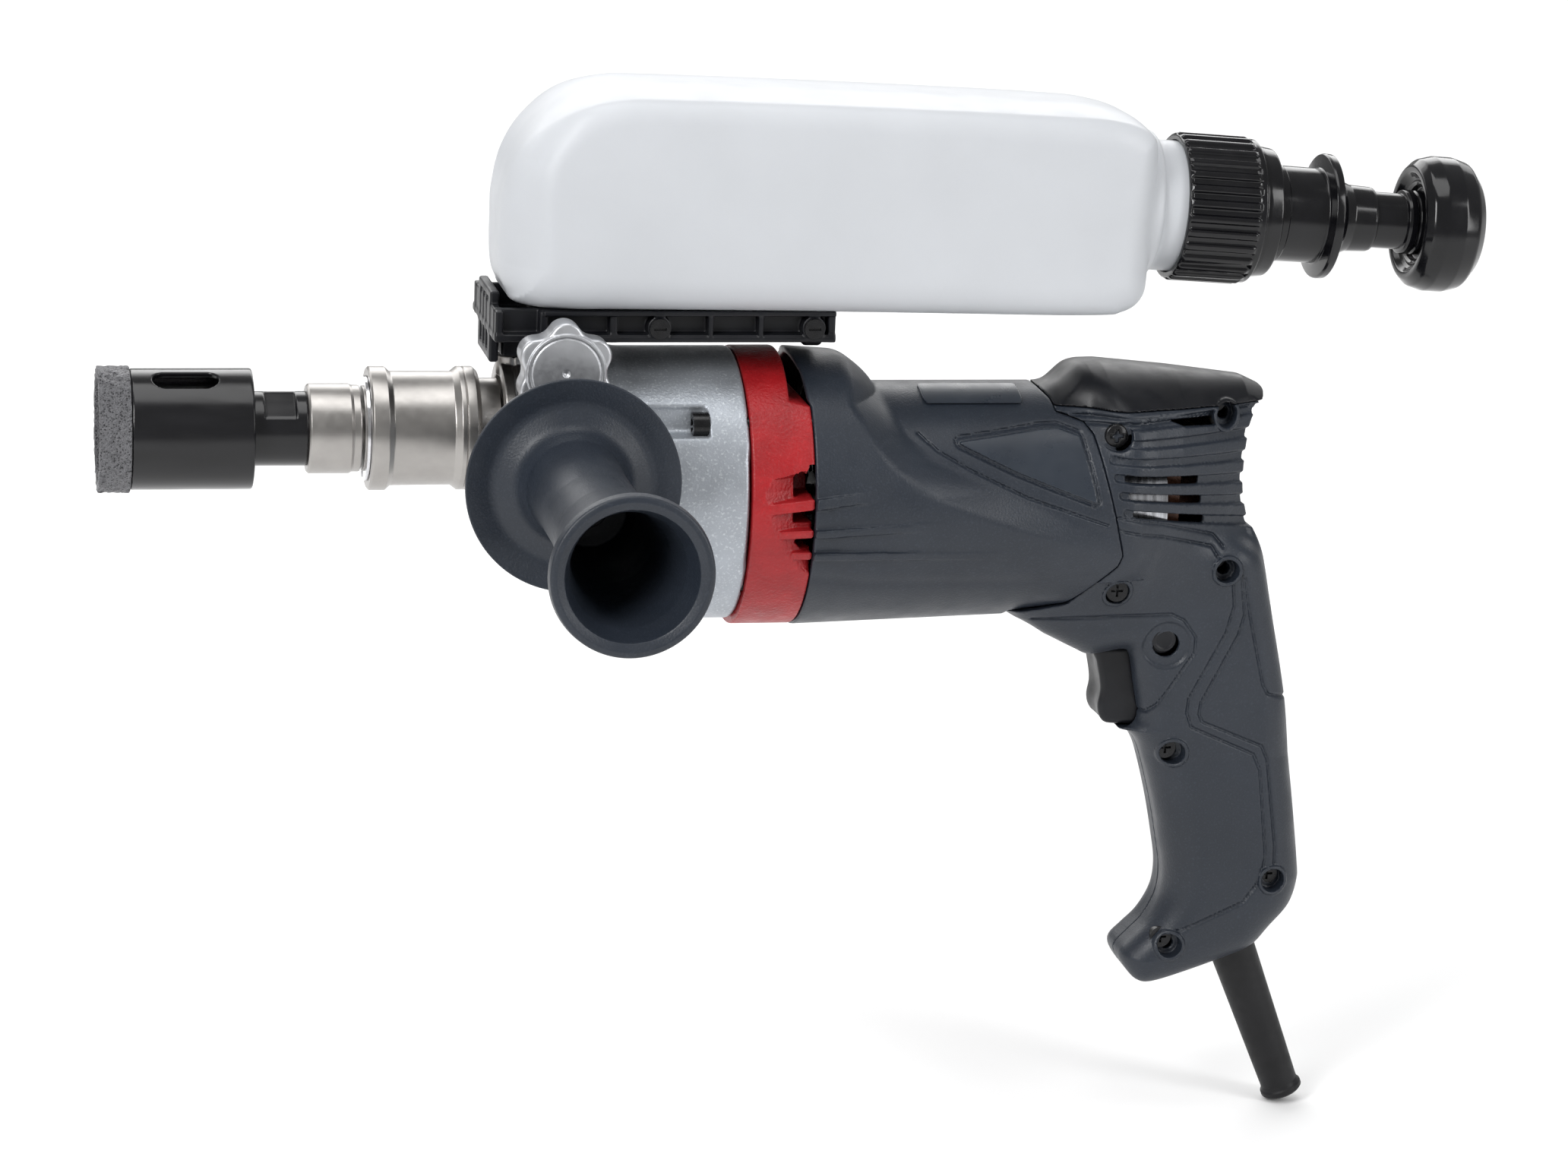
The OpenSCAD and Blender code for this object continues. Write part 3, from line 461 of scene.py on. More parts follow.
def fins(x, z, skin, start_x):
    """The three side fins, which fade out towards the rear."""
    out = np.full(np.shape(x), 9.0)
    for x0, z0, slope, x1, half in FINS:
        height = np.clip(1.7 * (x1 - x) / (x1 - PLATE_X1), -1.5, 0.2 if start_x < 210 else 1.5)
        line = np.abs(z - z0 - slope * (x - x0)) - half
        out = np.minimum(out, smax(smax(line, skin - height, 0.5), max(x0, start_x) - x, 1.2))
    return out


# the parting line between housing and handle shells, seen from the side
PARTING = [(294.5, 60), (294.5, 18), (299.5, 15.4), (303.2, 11.8), (303.8, 8.8), (312.1, 6.2), (314.6, 3),
           (317.6, -10), (321, -23.8), (323.8, -34.8), (322.8, -38.6), (309.5, -53.6), (291.6, -57.2),
           (291.6, -90)]
behind = Outline(np.array(PARTING + [(291.6, -260), (470, -260), (470, 60)], float), 6)
BADGE = [(270.5, 0.9), (283.1, 2.4), (297.5, 4.4), (302.8, 4.5), (309.2, 2.4), (313.6, -16.6), (300, -11.6),
         (287.7, -6.9)]
badge = Outline(np.array(BADGE, float), 8, 0.25)


def housing(x, y, z):
    """Motor housing: hollow skin with fins, moulded creases and a line round the badge."""
    skin = barrel(x, y, z)
    outer = smin(skin, fins(x, z, skin, 219), 0.5)
    outer = outer + groove(x, z, [(257, 3.4), (262.7, -1.4), (273, -7), (291.4, -15.4), (318, -24.4)], 0.8)
    outer = outer + 0.5 * groove(x, z, [(222, -40), (240, -42.5), (289, -43.4), (316, -42.4)], 0.6, 2.0)
    frame_line = np.exp(-(((badge(x, z) - 1.5) / 0.5) ** 2)) * (np.abs(y) > 15)
    outer = outer + np.where((np.abs(z + 8) < 20) & (x > 262), 0.7 * frame_line, 0)
    inner = skin + WALL
    front = np.interp(z, [13.2, 14.6, 21, 25.5], [PLATE_X1 + 0.1, 220.3, 220.1, 218.3])
    hollow = smax(inner, np.minimum(rod(y, z - FLANGE_Z, 35), -slab(x, 229, 232)), 0.5)
    f = cut(outer, hollow)
    f = smax(f, front - x, 0.8)
    return smax(f, 0.1 - behind(x, z), 0.6)


def bearing_plate(x, y, z):
    """Red plate with the air scoop on each side and the air slot over the top."""
    skin = rod(y, z - PLATE_Z, 44.85)
    side = np.abs(y) > 20
    into = np.clip((x - np.interp(z, SCOOP_Z, SCOOP_X)) * 0.5, 0, 30)
    into = np.where(side & (z < -4.4) & (z > -39.2), into, 0)
    deep = np.where(x > 214.4, 16 * step01((x - 214.4) / 1.5), 0)
    band = np.minimum(slab(z, -13.6, -4.9), slab(z, -21.6, -17.2))
    band = np.minimum(band, slab(z, -30, -26.0) + np.clip(217.4 - x, 0, 4))
    scoop = skin + np.minimum(into, 4.2) + np.where(into > 0, deep * step01(0.5 - band), 0)
    f = smin(scoop, fins(x, z, skin, 200), 0.8)
    rim = np.interp(z, [13.2, 14.6, 25.5], [PLATE_X1 - 0.15, 214.4, 215.2])
    core = smax(rod(y, z - PLATE_Z, 30), x - PLATE_X1 + 0.3, 0.5)
    f = smin(smax(f, x - rim, 1.2), core, 0.6)
    f = smax(f, CASE_X1 + 0.15 - x, 0.8)
    f = cut(f, smax(rod(y, z, 11.0), x - 211, 0.3))
    f = cut(f, smax(rod(y, z - BARREL_Z, 11.0), 212 - x, 0.3))
    f = cut(f, rod(y, z - BARREL_Z, 6.4))
    return cut(f, smax(rod(y - COUNTER_Y, z - COUNTER_Z, 8.0), x - 210.6, 0.3))


show(solid("motor_shell", housing, (212, -47, -67), (326, 47, 30), 0.8), "charcoal_plastic", "motor_housing")
show(solid("red_plate", bearing_plate, (200, -47, -66), (223, 47, 28), 0.5), "red_paint", "bearing_plate")


# ---------- handle shells ----------

# side view of the tail and grip, clockwise from the top front
SIDE = spline([
    (280, 15), (290, 15.6), (296.3, 17.3), (306.3, 19.7), (314.5, 21.6), (319.5, 22.1), (325, 21.9),
    (346, 20), (362, 18.2), (370, 17.2), (375.2, 15.6), (377.3, 13.3), (376.5, 11.2), (374.6, 9.2),
    (372.4, 5.8), (370.7, 1.9), (369.4, -6), (369.3, -17), (371.5, -26), (375.6, -36.3),
    (383, -62.4), (390.2, -91.4), (395, -118), (399.4, -147), (399.9, -155), (397.4, -163.5), (390.7, -171.4),
    (385, -177.6), (377, -181.2), (360, -186.9), (350, -189.5), (345.4, -188.8), (341.8, -185.2),
    (339.3, -180.8), (340, -177.6), (343.8, -173.6), (348.6, -168.4), (352.4, -160.5), (353.2, -151.8),
    (351.4, -141), (348.5, -127.7), (344.8, -114.4), (342, -107), (338, -102.2), (333.4, -100.6),
    (337.6, -98.6), (339.3, -94.6), (337.4, -84), (335.4, -74.6), (332, -72.4), (321.5, -74), (315.9, -71.9),
    (305.3, -66.6), (296, -62.6), (280, -60.5)])
side = Outline(SIDE)
TAIL_X = [300, 318, 326, 334, 344, 354, 363, 372]
TAIL_HALF = [BARREL_R, BARREL_R, 37.4, 34.8, 30.4, 25, 19.6, 13.6]
GRIP_Z = [-190, -160, -110, -90, -60, -40]
GRIP_HALF = [15.5, 17.4, 17.6, 18.6, 21.5, 25]
GRIP_ROUND = [8, 13, 13, 9.5, 9, 10]
VENTS = 6
VENT_X, VENT_STEP = 315.6, 1.5
LEFT_SCREWS = [(321.3, 3.2), (325.6, -49.6), (361.2, 7.2), (363, -43.5), (350.6, -107), (388, -152),
               (354, -174.6)]
BUTTON = (345.4, -69.2)
BAND_LINES = ([(304.5, 7.9), (311, 8), (330.7, 8.4), (357.3, 8.9), (370, 9)],
              [(312, 5.9), (335, 6.8), (357, 7.9)])
LINE_A = [(364.8, -43), (366.9, -55.8), (365.2, -65), (354.6, -88), (354.2, -93), (356.2, -98.1),
          (378.3, -107.9), (381, -113.6), (385, -143.8), (383.6, -152), (378.2, -159.5), (356.1, -169.9)]
LINE_B = [(367.8, -43), (370.8, -59.1), (369.4, -66), (358.9, -89.4), (358.4, -93.6), (359.8, -96.3),
          (380.9, -105.1), (383.3, -109.9), (388, -140.1), (388.2, -148), (386, -156)]
LINE_C = [(369.6, -46), (371.4, -54.7), (379.4, -83.5), (381.5, -87), (392, -90)]
PANEL = [(299.2, -59.5), (345.7, -58.4), (350.4, -60.6), (355, -66.6), (354.9, -72), (344, -90.2),
         (341.2, -93.4), (332, -94)]
TAIL_LINES = ([(321.3, -21.9), (338, -25.6), (358.2, -31.7), (361.7, -35.8)],
              [(322.5, -26.4), (338, -29.8), (357.5, -35.3), (359.5, -38.6)])


CREASE_Z = 10.2  # the crease along each side of the tail's roof
ROOF_X = [280, 296, 306, 317, 322, 346, 370, 378]
ROOF_Z = [15, 17.3, 19.7, 21.9, 22.1, 20, 17.2, 13.5]
ROOF_DROP = [6, 6, 8.6, 11.1, 11, 9.2, 6.4, 3]
CREASE_Y = [31, 31, 31, 30, 29, 23, 14, 8]


def roof(x, y):
    """Height of the tail's roof, which sheds to each side."""
    across = np.minimum(np.abs(y) / np.interp(x, ROOF_X, CREASE_Y), 1.5)
    return np.interp(x, ROOF_X, ROOF_Z) - np.interp(x, ROOF_X, ROOF_DROP) * across * across


WEDGE = Outline(np.array([(339.3, 7.4), (345.2, 5.0), (357.7, 4.4), (356.7, 7.1)]), 6, 0.25)


def vent_rows(x, z):
    """Distance above each vent channel's middle line, and its half height."""
    t = np.clip((x - VENT_X) / 40, 0, 1.6)
    for k in range(VENTS):
        middle = (6.0 - 5.03 * k) * (1 - t) + (7.4 - 6.75 * k) * t
        yield k, z - middle, 1.15 + 0.35 * t


def tail_and_grip(x, y, z):
    """Outer skin of the handle."""
    rim = smax(side(x, z), z - roof(x, y), 0.6)
    half = np.interp(x, TAIL_X, TAIL_HALF) * (1 - 0.09 * step01((z + 4) / 14))
    middle = np.interp(x, [300, 370], [-23.8, -13])
    tall = np.where(z > middle, np.interp(x, [300, 330], [44, 46]),
                    np.interp(x, [300, 330, 370], [BARREL_R, 42, 50]))
    u, v = np.abs(y) / half, np.abs(z - middle) / tall
    p = 2 + 1.0 * step01((z + 30) / 26)
    body = ((u ** p + v ** p + 1e-9) ** (1 / p) - 1) * np.minimum(half, BARREL_R)
    tail = round_meet(rim, body, 0.9)
    blend = np.where(z > -45, step01(-behind(x, z) / 15), 1)
    tail = rod(y, z - BARREL_Z, BARREL_R) * (1 - blend) + tail * blend
    tail = smax(tail, -60 - z, 6)
    r = np.interp(z, GRIP_Z, GRIP_ROUND)
    grip = round_meet(rim, np.abs(y) - np.interp(z, GRIP_Z, GRIP_HALF), r)
    grip = smax(grip, z + 34, 10)
    grip = smax(grip, 296 - x + np.clip(-z - 60, 0, 6), 4)
    return smin(tail, grip, 7)


def skin_y(x, z):
    """Where the left side of the handle's skin lies at (x, z)."""
    y = np.linspace(-45, -5, 400)
    return y[np.argmax(tail_and_grip(np.full(400, x), y, np.full(400, z)) < 0)]


HEADS = [(x, skin_y(x, z) - lift, z) for (x, z), lift in zip(LEFT_SCREWS[:2], (0.9, -1.6))]


GUARD_X, GUARD_Z = 379.6, -178  # where the cord guard leaves the grip
LEAN = math.radians(22.2)


def guard_frame(x, z):
    """Distances along and across the cord guard's axis, from the grip's end."""
    dx, dz = x - GUARD_X, z - GUARD_Z
    return dx * math.sin(LEAN) - dz * math.cos(LEAN), dx * math.cos(LEAN) + dz * math.sin(LEAN)


def handle(x, y, z):
    """Both shells in one field, before they are split."""
    skin = tail_and_grip(x, y, z)
    inner = skin + WALL
    ys = np.abs(y)
    f = skin
    for k, dz, half in vent_rows(x, z):
        start = VENT_X + VENT_STEP * k
        channel = smax(np.hypot(np.minimum(x - start - 1.2, 0), dz) - half, z - 13, 0.5)
        f = f + 1.1 * step01(0.5 - channel / 0.9) * step01((ys - 3) / 4 + (x - 360) / 6)
    for line in (LINE_A, LINE_B, LINE_C, PANEL, *TAIL_LINES, *BAND_LINES):
        f = f + groove(x, z, line, 0.75, 0.5) * step01((ys - 6) / 4)
    dish = np.hypot(x - BUTTON[0], z - BUTTON[1])
    f = f + np.where(y < 0, 1.1, 0.3) * step01(np.clip((8.6 - dish) / 1.6, 0, 1)) * (ys > 5)
    f = smax(f, -inner, 0.5)
    for k, dz, half in vent_rows(x, z):
        if k >= 3:
            lo, hi = VENT_X + VENT_STEP * k + 3.4, 350.5 + 1.6 * (k - 3)
            f = cut(f, smax(slab(x, lo, hi), np.abs(dz) - half + 0.1, 0.8) + np.where(ys > 8, 0, 20), 0.5)
    near_wedge = (np.abs(x - 348.5) < 11) & (np.abs(z - 6) < 4)
    f = cut(f, np.where(near_wedge, smax(WEDGE(x, z), y + 12, 0.3), 3.0), 0.3)
    left = y < 0
    for i, (sx, sz) in enumerate(LEFT_SCREWS):
        d = np.hypot(x - sx, z - sz)
        if i == 0:  # a flat seat for the screw that stands proud
            f = np.where(left, cut(f, smax(d - 4.9, y - HEADS[0][1] - 1.1, 0.3), 0.4), f)
        else:  # a sunk screw: its tube inside the shell, the well of its head and its hole
            tube = smax(d - 5.2, inner - 3.4, 0.4)
            f = np.where(left, smin(f, smax(tube, -inner - 4.2, 0.4), 0.5), f)
            f = np.where(left, cut(f, smax(d - 3.95, -inner - 1.5, 0.4), 0.5), f)
            f = np.where(left, cut(f, d - 2.1, 0.3), f)
    f = np.where(left, cut(f, np.hypot(x - BUTTON[0], z - BUTTON[1]) - 4.3, 0.4), f)
    gap = smax(smax(ys - 9.4, z + 71.8, 0.5), x - 345, 0.5)
    f = cut(f, smax(gap, -100.2 - z, 0.5))
    s, d = guard_frame(x, z)
    d = np.hypot(d, y)
    f = cut(f, smax(d - 6.8, slab(s, -16, 14), 0.3))
    f = cut(f, smax(d - 8.2, slab(s, -5.1, 19), 0.3))
    return smax(f, behind(x, z) + 0.12, 0.6)


def painted_shade_zone(z):
    """Below 0 in the tail's top above the crease, which is drawn apart in darker plastic as painted shade."""
    return CREASE_Z - z


def shell(sign):
    """Field of one handle shell: the left one, at negative y, has sign -1."""
    return lambda x, y, z: smax(smax(handle(x, y, z), 0.06 - sign * y, 0.35), -painted_shade_zone(z) + 0.12, 0.35)


def painted_shade_roof(x, y, z):
    """The tail's top above the crease as its own piece in black plastic: painted shade, the charcoal roof
    made darker as if it faced away from the light.
    """
    return smax(handle(x, y, z), painted_shade_zone(z) + 0.12, 0.35)


show(solid("shell_left", shell(-1), (286, -42, -194), (404, 1, 26), 0.72), "charcoal_plastic", "handle_left")
show(solid("shell_right", shell(1), (286, -1, -194), (404, 42, 26), 0.78), "charcoal_plastic", "handle_right")


def pan_heads(x, y, z):
    """The upper shell screws' pan heads with cross recesses."""
    out = np.full(np.shape(x), 9.0)
    for sx, sy, sz in HEADS:
        r = np.hypot(x - sx, z - sz)
        head = smax(smax(r - 3.8, sy - y + 0.06 * r * r, 0.6), y - sy - 2.4, 0.3)
        u, v = np.abs(x - sx), np.abs(z - sz)
        cross = np.minimum(smax(u - 0.65, v - 2.2, 0.2), smax(v - 0.65, u - 2.2, 0.2))
        out = np.minimum(out, cut(head, smax(cross, y - sy - 1.6, 0.2), 0.3))
    return out


show(solid("shell_screws", pan_heads, (316, -42, -55), (331, -24, 8), 0.3), "black_screw", body="casing")
# painted shade: the charcoal roof above the crease is drawn as a separate black plastic piece to darken it
show(solid("tail_top_painted_shade", painted_shade_roof, (286, -42, -4), (382, 42, 26), 0.7), "black_plastic", body="casing")


# ---------- gear case ----------

BOSS_X, BOSS_Z = 141.8, -5  # axis of the side handle and of the bosses on both sides
SCREW_Y, SCREW_LEVELS = 31.55, (7.5, -43.5)


def gear_case(x, y, z):
    """Cast case: barrel, shoulder, nose, handle bosses and channels for the long screws."""
    shoulder = np.clip(152 - x, 0, 40) * 1.15
    wide = smax(rod(y, z - CASE_Z, 43.8) + shoulder, slab(x, 137, CASE_X1 - 0.15), 1.6)
    nose = smax(rod(y, z, 24), slab(x, CASE_X0, 156), 1.2)
    f = smin(wide, nose, 9)
    boss = smax(rod(x - BOSS_X, z - BOSS_Z, 13), np.abs(y) - 46, 0.8)
    f = smin(f, boss, 6)
    pad = block(x, y, z, (CASE_X0, -16, 5), (154, 16, 24.8), 1.2)
    f = smin(f, pad, 1.5)
    ys = np.abs(y)
    for level in SCREW_LEVELS:
        slot = np.abs(z - level - np.copysign(1.8, level)) - 4.6
        slot = smax(smax(slot, x - 188, 0.8), 29.5 - ys, 3)
        f = cut(f, slot, 0.9)
        f = cut(f, smax(np.hypot(ys - SCREW_Y, z - level) - 2.6, 187 - x, 0.3))
    f = f + 0.35 * step01((ys - 38) / 2) * step01((x - 172) / 0.6) * step01((z + 44) / 2) * (z < 3)
    inside = smax(rod(y, z - CASE_Z, 40.4), 168 - x, 1)
    for level in SCREW_LEVELS:
        inside = smax(inside, 5.6 - np.hypot(ys - SCREW_Y, z - level), 1)
    f = cut(f, inside)
    f = cut(f, smax(rod(y, z, 17.5), x - 146, 0.3))
    f = cut(f, smax(rod(y, z, 12), x - 170, 0.3))
    f = cut(f, smax(rod(y - COUNTER_Y, z - COUNTER_Z, 8), slab(x, 161.5, 170), 0.3))
    f = cut(f, smax(rod(x - BOSS_X, z - BOSS_Z, 5), 28 - ys, 0.3))
    return smax(f, CASE_X0 - x, 0.5)


show(solid("gear_housing", gear_case, (133, -47, -63), (204, 47, 27), 0.75), "cast_aluminium", "gear_case")


# ---------- bottle, bracket and valve ----------

BOTTLE_SIDE = spline([
    (131, 43.2), (125.6, 47.5), (123.6, 55), (123.5, 66), (123.9, 76), (127, 88), (134, 98.5), (145, 107.2),
    (158, 111), (175, 111.4), (240, 109.6), (300, 107.2), (318, 105.4), (328, 101.6), (331.4, 95),
    (331.6, 75), (330.9, 54), (328.6, 46), (322, 42), (310, 41.2), (240, 42.2), (160, 43)])
bottle_side = Outline(BOTTLE_SIDE)
TILT = math.radians(3.5)
MOUTH_X, MOUTH_Z = 333, 73.1  # the bottle's mouth


def pump_frame(x, z):
    """Distances along and across the pump axis, from the bottle's mouth."""
    dx, dz = x - MOUTH_X, z - MOUTH_Z
    return dx * math.cos(TILT) - dz * math.sin(TILT), dx * math.sin(TILT) + dz * math.cos(TILT)


def bottle_skin(x, y, z):
    """Blow-moulded body: flat cheeks, a crease under the crowned top, a softly rounded floor."""
    crown = np.clip(np.abs(y) - 6, 0, 40) ** 2 / 210 * step01((z - 84) / 16)
    rim = bottle_side(x, z + crown)
    half = 32 - 2.0 * step01((x - 300) / 34) - 3.5 * step01((140 - x) / 22)
    r = np.interp(z, [42, 56, 90, 108], [8, 12, 9, 4.5])
    r = r + 8 * step01((150 - x) / 28)
    return round_meet(rim, np.abs(y) - half, r)


def plugs(x, y, r):
    """Two upright pegs between the bottle and its tray."""
    return np.minimum(np.hypot(x - 180, y), np.hypot(x - 212, y)) - r


def bottle(x, y, z):
    """Bottle: hollow body with its neck, and two pegs under the floor."""
    s, d = pump_frame(x, z)
    d = np.hypot(d, y)
    skin = bottle_skin(x, y, z)
    neck = smax(d - 24, s - 2, 2)
    neck = smin(smax(neck, -14 - s, 1), smax(d - 21, slab(s, 0, 26), 0.8), 2.5)
    f = smin(skin, neck, 3)
    f = smin(f, smax(plugs(x, y, 2.9), slab(z, 32.3, 45), 0.4), 0.6)
    f = cut(f, skin + 1.8, 1.0)
    return cut(f, smax(d - 18.9, slab(s, -14, 40), 0.5), 0.6)


show(solid("bottle_shell", bottle, (122, -33, 31), (362, 33, 113), 1.15), "milky_plastic", "bottle")


def bracket(x, y, z):
    """Bottle bracket: tray with cross ribs, front strap and foot."""
    ys = np.abs(y)
    f = block(x, y, z, (121, -27, 33), (228.8, 27, 35.4), 0.6)
    wall = block(x, ys, z, (121, 20.6, 33), (228.8, 22.8, 42.8), 0.7)
    f = smin(f, wall, 0.8)
    for rib in (121.2, 135, 157, 226.4):
        f = smin(f, block(x, y, z, (rib, -26.6, 33), (rib + 2.4, 26.6, 42.6), 0.6), 0.8)
    for rib in (188, 204):
        f = smin(f, block(x, ys, z, (rib, 22, 33.4), (rib + 1.6, 27.4, 42.4), 0.4), 0.4)
    for sz in (33.8, 42.0):
        f = smin(f, block(x, ys, z, (136, 22, sz - 0.8), (228.8, 27.4, sz + 0.8), 0.4), 0.4)
    strap = block(x, y, z, (121, -14, 24), (124, 14, 46.5), 0.8)
    for pocket in (-7, 0, 7):
        strap = cut(strap, block(x, y, z, (119, pocket - 2.4, 27), (122.4, pocket + 2.4, 44), 0.8), 0.5)
    f = smin(f, strap, 0.8)
    f = smin(f, block(x, y, z, (222, -8, 27.9), (228.8, 8, 34), 1.5), 1)
    for sx in (172.6, 221.8):
        boss = smax(rod(x - sx, z - 37.4, 3.8), slab(ys, 22, 27.2), 0.5)
        f = smin(f, boss, 0.8)
        f = cut(f, smax(rod(x - sx, z - 37.4, 1.6), 20 - ys, 0.3), 0.4)
    f = cut(f, block(x, y, z, (134, -18, 30), (156, 18, 46), 1), 0.5)
    return cut(f, smax(plugs(x, y, 3), z - 37, 0.3), 0.4)


show(solid("bottle_tray", bracket, (120, -28, 23), (230, 28, 47), 0.5), "black_plastic", "bottle_bracket")


VALVE_X, VALVE_Z = 140.8, 27  # axis of the valve and its knob
WATER_X = 130  # the upright water way from the valve into the swivel


def valve(x, y, z):
    """Water valve block on the gear case."""
    f = block(x, y, z, (134.4, -17.8, 25), (150.4, 17.8, 40), 1)
    f = smin(f, block(x, y, z, (150, -17.8, 26), (155.6, 17.8, 40), 1), 0.8)
    f = smin(f, smin(block(x, y, z, (134.4, -34, 21.6), (147.2, -17, 34), 1.5),
                     smax(rod(x - VALVE_X, z - VALVE_Z, 6.6), slab(y, -34.8, -16), 0.6), 0.8), 0.8)
    f = smin(f, block(x, y, z, (125.8, -7, 24.2), (135, 7, 32.6), 1), 0.8)
    for sy in (-11, 11):
        f = cut(f, np.hypot(x - 149, y - sy) - 2, 0.4)
    f = cut(f, smax(rod(x - VALVE_X, z - VALVE_Z, 4), y + 20, 0.3), 0.4)
    return cut(f, smax(np.hypot(x - WATER_X, y) - 2.5, z - 29, 0.3), 0.4)


show(solid("valve_block", valve, (125, -36, 21), (157, 19, 41), 0.45), "black_plastic", "valve_body")


def knob(x, y, z):
    """Valve knob: six bright lobes round a turned face."""
    r = np.hypot(x - VALVE_X, z - VALVE_Z)
    a = np.arctan2(z - VALVE_Z, x - VALVE_X)
    near = np.mod(a, math.pi / 3) - math.pi / 6
    lobe = np.hypot(r * np.cos(near) - 10.4, r * np.sin(near)) - 5.2
    f = smax(smin(r - 12.9, lobe, 1.2), slab(y, -45.4, -35.2), 1.4)
    f = smin(f, smax(r - 12.3, slab(y, -45.95, -40), 0.3), 0.3)
    f = f + 0.35 * np.exp(-(((r - 10.9) / 0.3) ** 2)) * (y < -44)
    f = cut(f, np.hypot(r, y + 46.4) - 1.2, 0.3)
    return cut(f, smax(r - 3.96, -44 - y, 0.3), 0.3)


show(solid("knob_wheel", knob, (124, -47, 10), (158, -34, 44), 0.35), "knob_aluminium", "valve_knob")


# ---------- turned parts ----------

SPINDLE = ((0, 0, 0), (1, 0, 0))
SIDE_GRIP = ((BOSS_X, 0, BOSS_Z), (0, -1, 0))
PUMP = ((MOUTH_X, 0, MOUTH_Z), (math.cos(TILT), 0, -math.sin(TILT)))
GUARD = ((GUARD_X, 0, GUARD_Z), (math.sin(LEAN), 0, -math.cos(LEAN)))

show(turned("adapter_collar", [
    (53, 3), (53, 6.98, 0.2), (65.4, 6.98, 0), (65.4, 13.6, 0.3), (66.1, 14.2, 0.3), (78.7, 14.2, 0.3),
    (79.6, 13.7, 0.2), (82, 13.7, 0.5), (82, 8, 0.2), (84.6, 8, 0.1), (84.6, 7.3, 0.1), (91.4, 7.3, 0.1),
    (91.4, 8, 0.1), (111.5, 8), (111.5, 3)], *SPINDLE), "nickel", "bit_adapter")
show(turned("sleeve_ring", [
    (84.5, 13.8), (84.5, 19.0, 0.3), (85.1, 19.6, 0.3), (89.9, 19.6, 0.5), (91.6, 18.1, 0.8),
    (110.8, 18.0, 0.8), (112.8, 19.6, 0.5), (114.2, 19.6, 0.15), (114.5, 19.25, 0.1), (114.8, 19.6, 0.15),
    (117.6, 19.6, 0.4), (119, 18.4, 0.4), (119, 16.15), (91.4, 16.15), (91.4, 13.8)], *SPINDLE),
    "nickel", "chuck_sleeve")


def swivel(x, y, z):
    """Water swivel: ring with a recessed face and a spigot."""
    r = np.hypot(y, z)
    f = smax(r - 21.65, slab(x, 126, 134), 1.0)
    f = smin(f, smax(np.hypot(x - WATER_X, y) - 5, slab(z, 10, 24), 0.4), 0.8)
    f = cut(f, smax(slab(r, 12.5, 17.4), x - 130.4, 0.5), 0.6)
    f = f + 0.4 * np.exp(-(((x - 130.2) / 0.5) ** 2)) * (r > 19)
    f = cut(f, r - 8.6, 0.3)
    f = cut(f, smax(r - 12, slab(x, 129, 131), 0.3), 0.3)
    for seal in (126.7, 131.8):
        f = cut(f, smax(r - 10.4, slab(x, seal, seal + 1.6), 0.2), 0.3)
    return cut(f, smax(np.hypot(x - WATER_X, y) - 2.5, -z, 0.3), 0.3)


show(solid("swivel_ring", swivel, (125, -22.5, -22.5), (135, 22.5, 25), 0.4), "nickel", "water_swivel")


def core_tube(x, y, z):
    """Bit body: tube with one long slot through both walls, closed end, shank with flats."""
    r = np.hypot(y, z)
    f = smax(r - 19, slab(x, 10.35, 48.3), 0.8)
    f = smin(f, smax(r - 11.75, slab(x, 47, 65.5), 0.5), 0.6)
    turn = math.radians(67)
    across = y * math.sin(turn) + z * math.cos(turn)
    slot_x = np.clip(x, 21, 33.5)
    f = cut(f, np.hypot(x - slot_x, across) - 4, 0.6)
    f = cut(f, smax(r - 17.2, x - 45, 0.5), 0.5)
    f = cut(f, smax(r - 7, 40 - x, 0.3), 0.4)
    tilt = math.radians(30)
    w = -y * math.sin(tilt) + z * math.cos(tilt)
    return cut(f, smax(10 - np.abs(w), slab(x, 52, 61.6), 0.3), 0.5)


show(solid("bit_tube", core_tube, (10, -20, -20), (66, 20, 20), 0.5), "black_steel", "core_bit")


LUMPS = np.random.default_rng(7).normal(0, 1, (90, 48))


def rough_rim(x, y, z):
    """Diamond rim with coarse grit: a lumpy skin from seeded heights round the rim."""
    r = np.hypot(y, z)
    a = np.arctan2(z, y) % math.tau
    u, v = a * 90 / math.tau, np.clip((x + 2) * 0.75 + (r - 16) * 0.9, 0, 46)
    i, j = u.astype(int), v.astype(int)
    fu, fv = step01(u - i), step01(v - j)
    lumps = ((LUMPS[i % 90, j] * (1 - fu) + LUMPS[(i + 1) % 90, j] * fu) * (1 - fv)
             + (LUMPS[i % 90, j + 1] * (1 - fu) + LUMPS[(i + 1) % 90, j + 1] * fu) * fv)
    front = 0.3 - 0.1 * np.clip(lumps, -2, 1.5)
    return smax(r - 19.7 - 0.22 * np.clip(lumps, -2, 1.2), slab(x, front, 10.3), 0.4)


def rim_ring(x, y, z):
    """The rough rim with its bore."""
    return cut(rough_rim(x, y, z), np.hypot(y, z) - 16.6, 0.4)


show(solid("grit_rim", rim_ring, (-0.5, -20.5, -20.5), (11, 20.5, 20.5), 0.36), "diamond", "diamond_rim")

show(turned("side_grip", [
    (46.2, 5.02), (46.2, 13, 0.4), (50, 14.5, 2), (53.5, 20, 3), (59.6, 33.5, 0.6), (61.0, 33.4, 0.6),
    (59.2, 29.0, 3), (57.4, 25, 4), (60.5, 18, 6), (66, 15.4, 5), (76, 14.7, 6), (105, 14.6, 8),
    (130, 15.8, 8), (150, 18.2, 8), (164, 21.4, 6), (169.6, 24, 1.4), (172.9, 23.6, 1.1), (173.3, 21.8, 0.9),
    (172.2, 19.4, 0.8), (169, 18.6, 1), (164, 17, 4), (150, 14.6, 4), (130, 12.6, 4), (92, 11.4, 1),
    (92, 5.02)], *SIDE_GRIP), "charcoal_plastic", "side_handle")


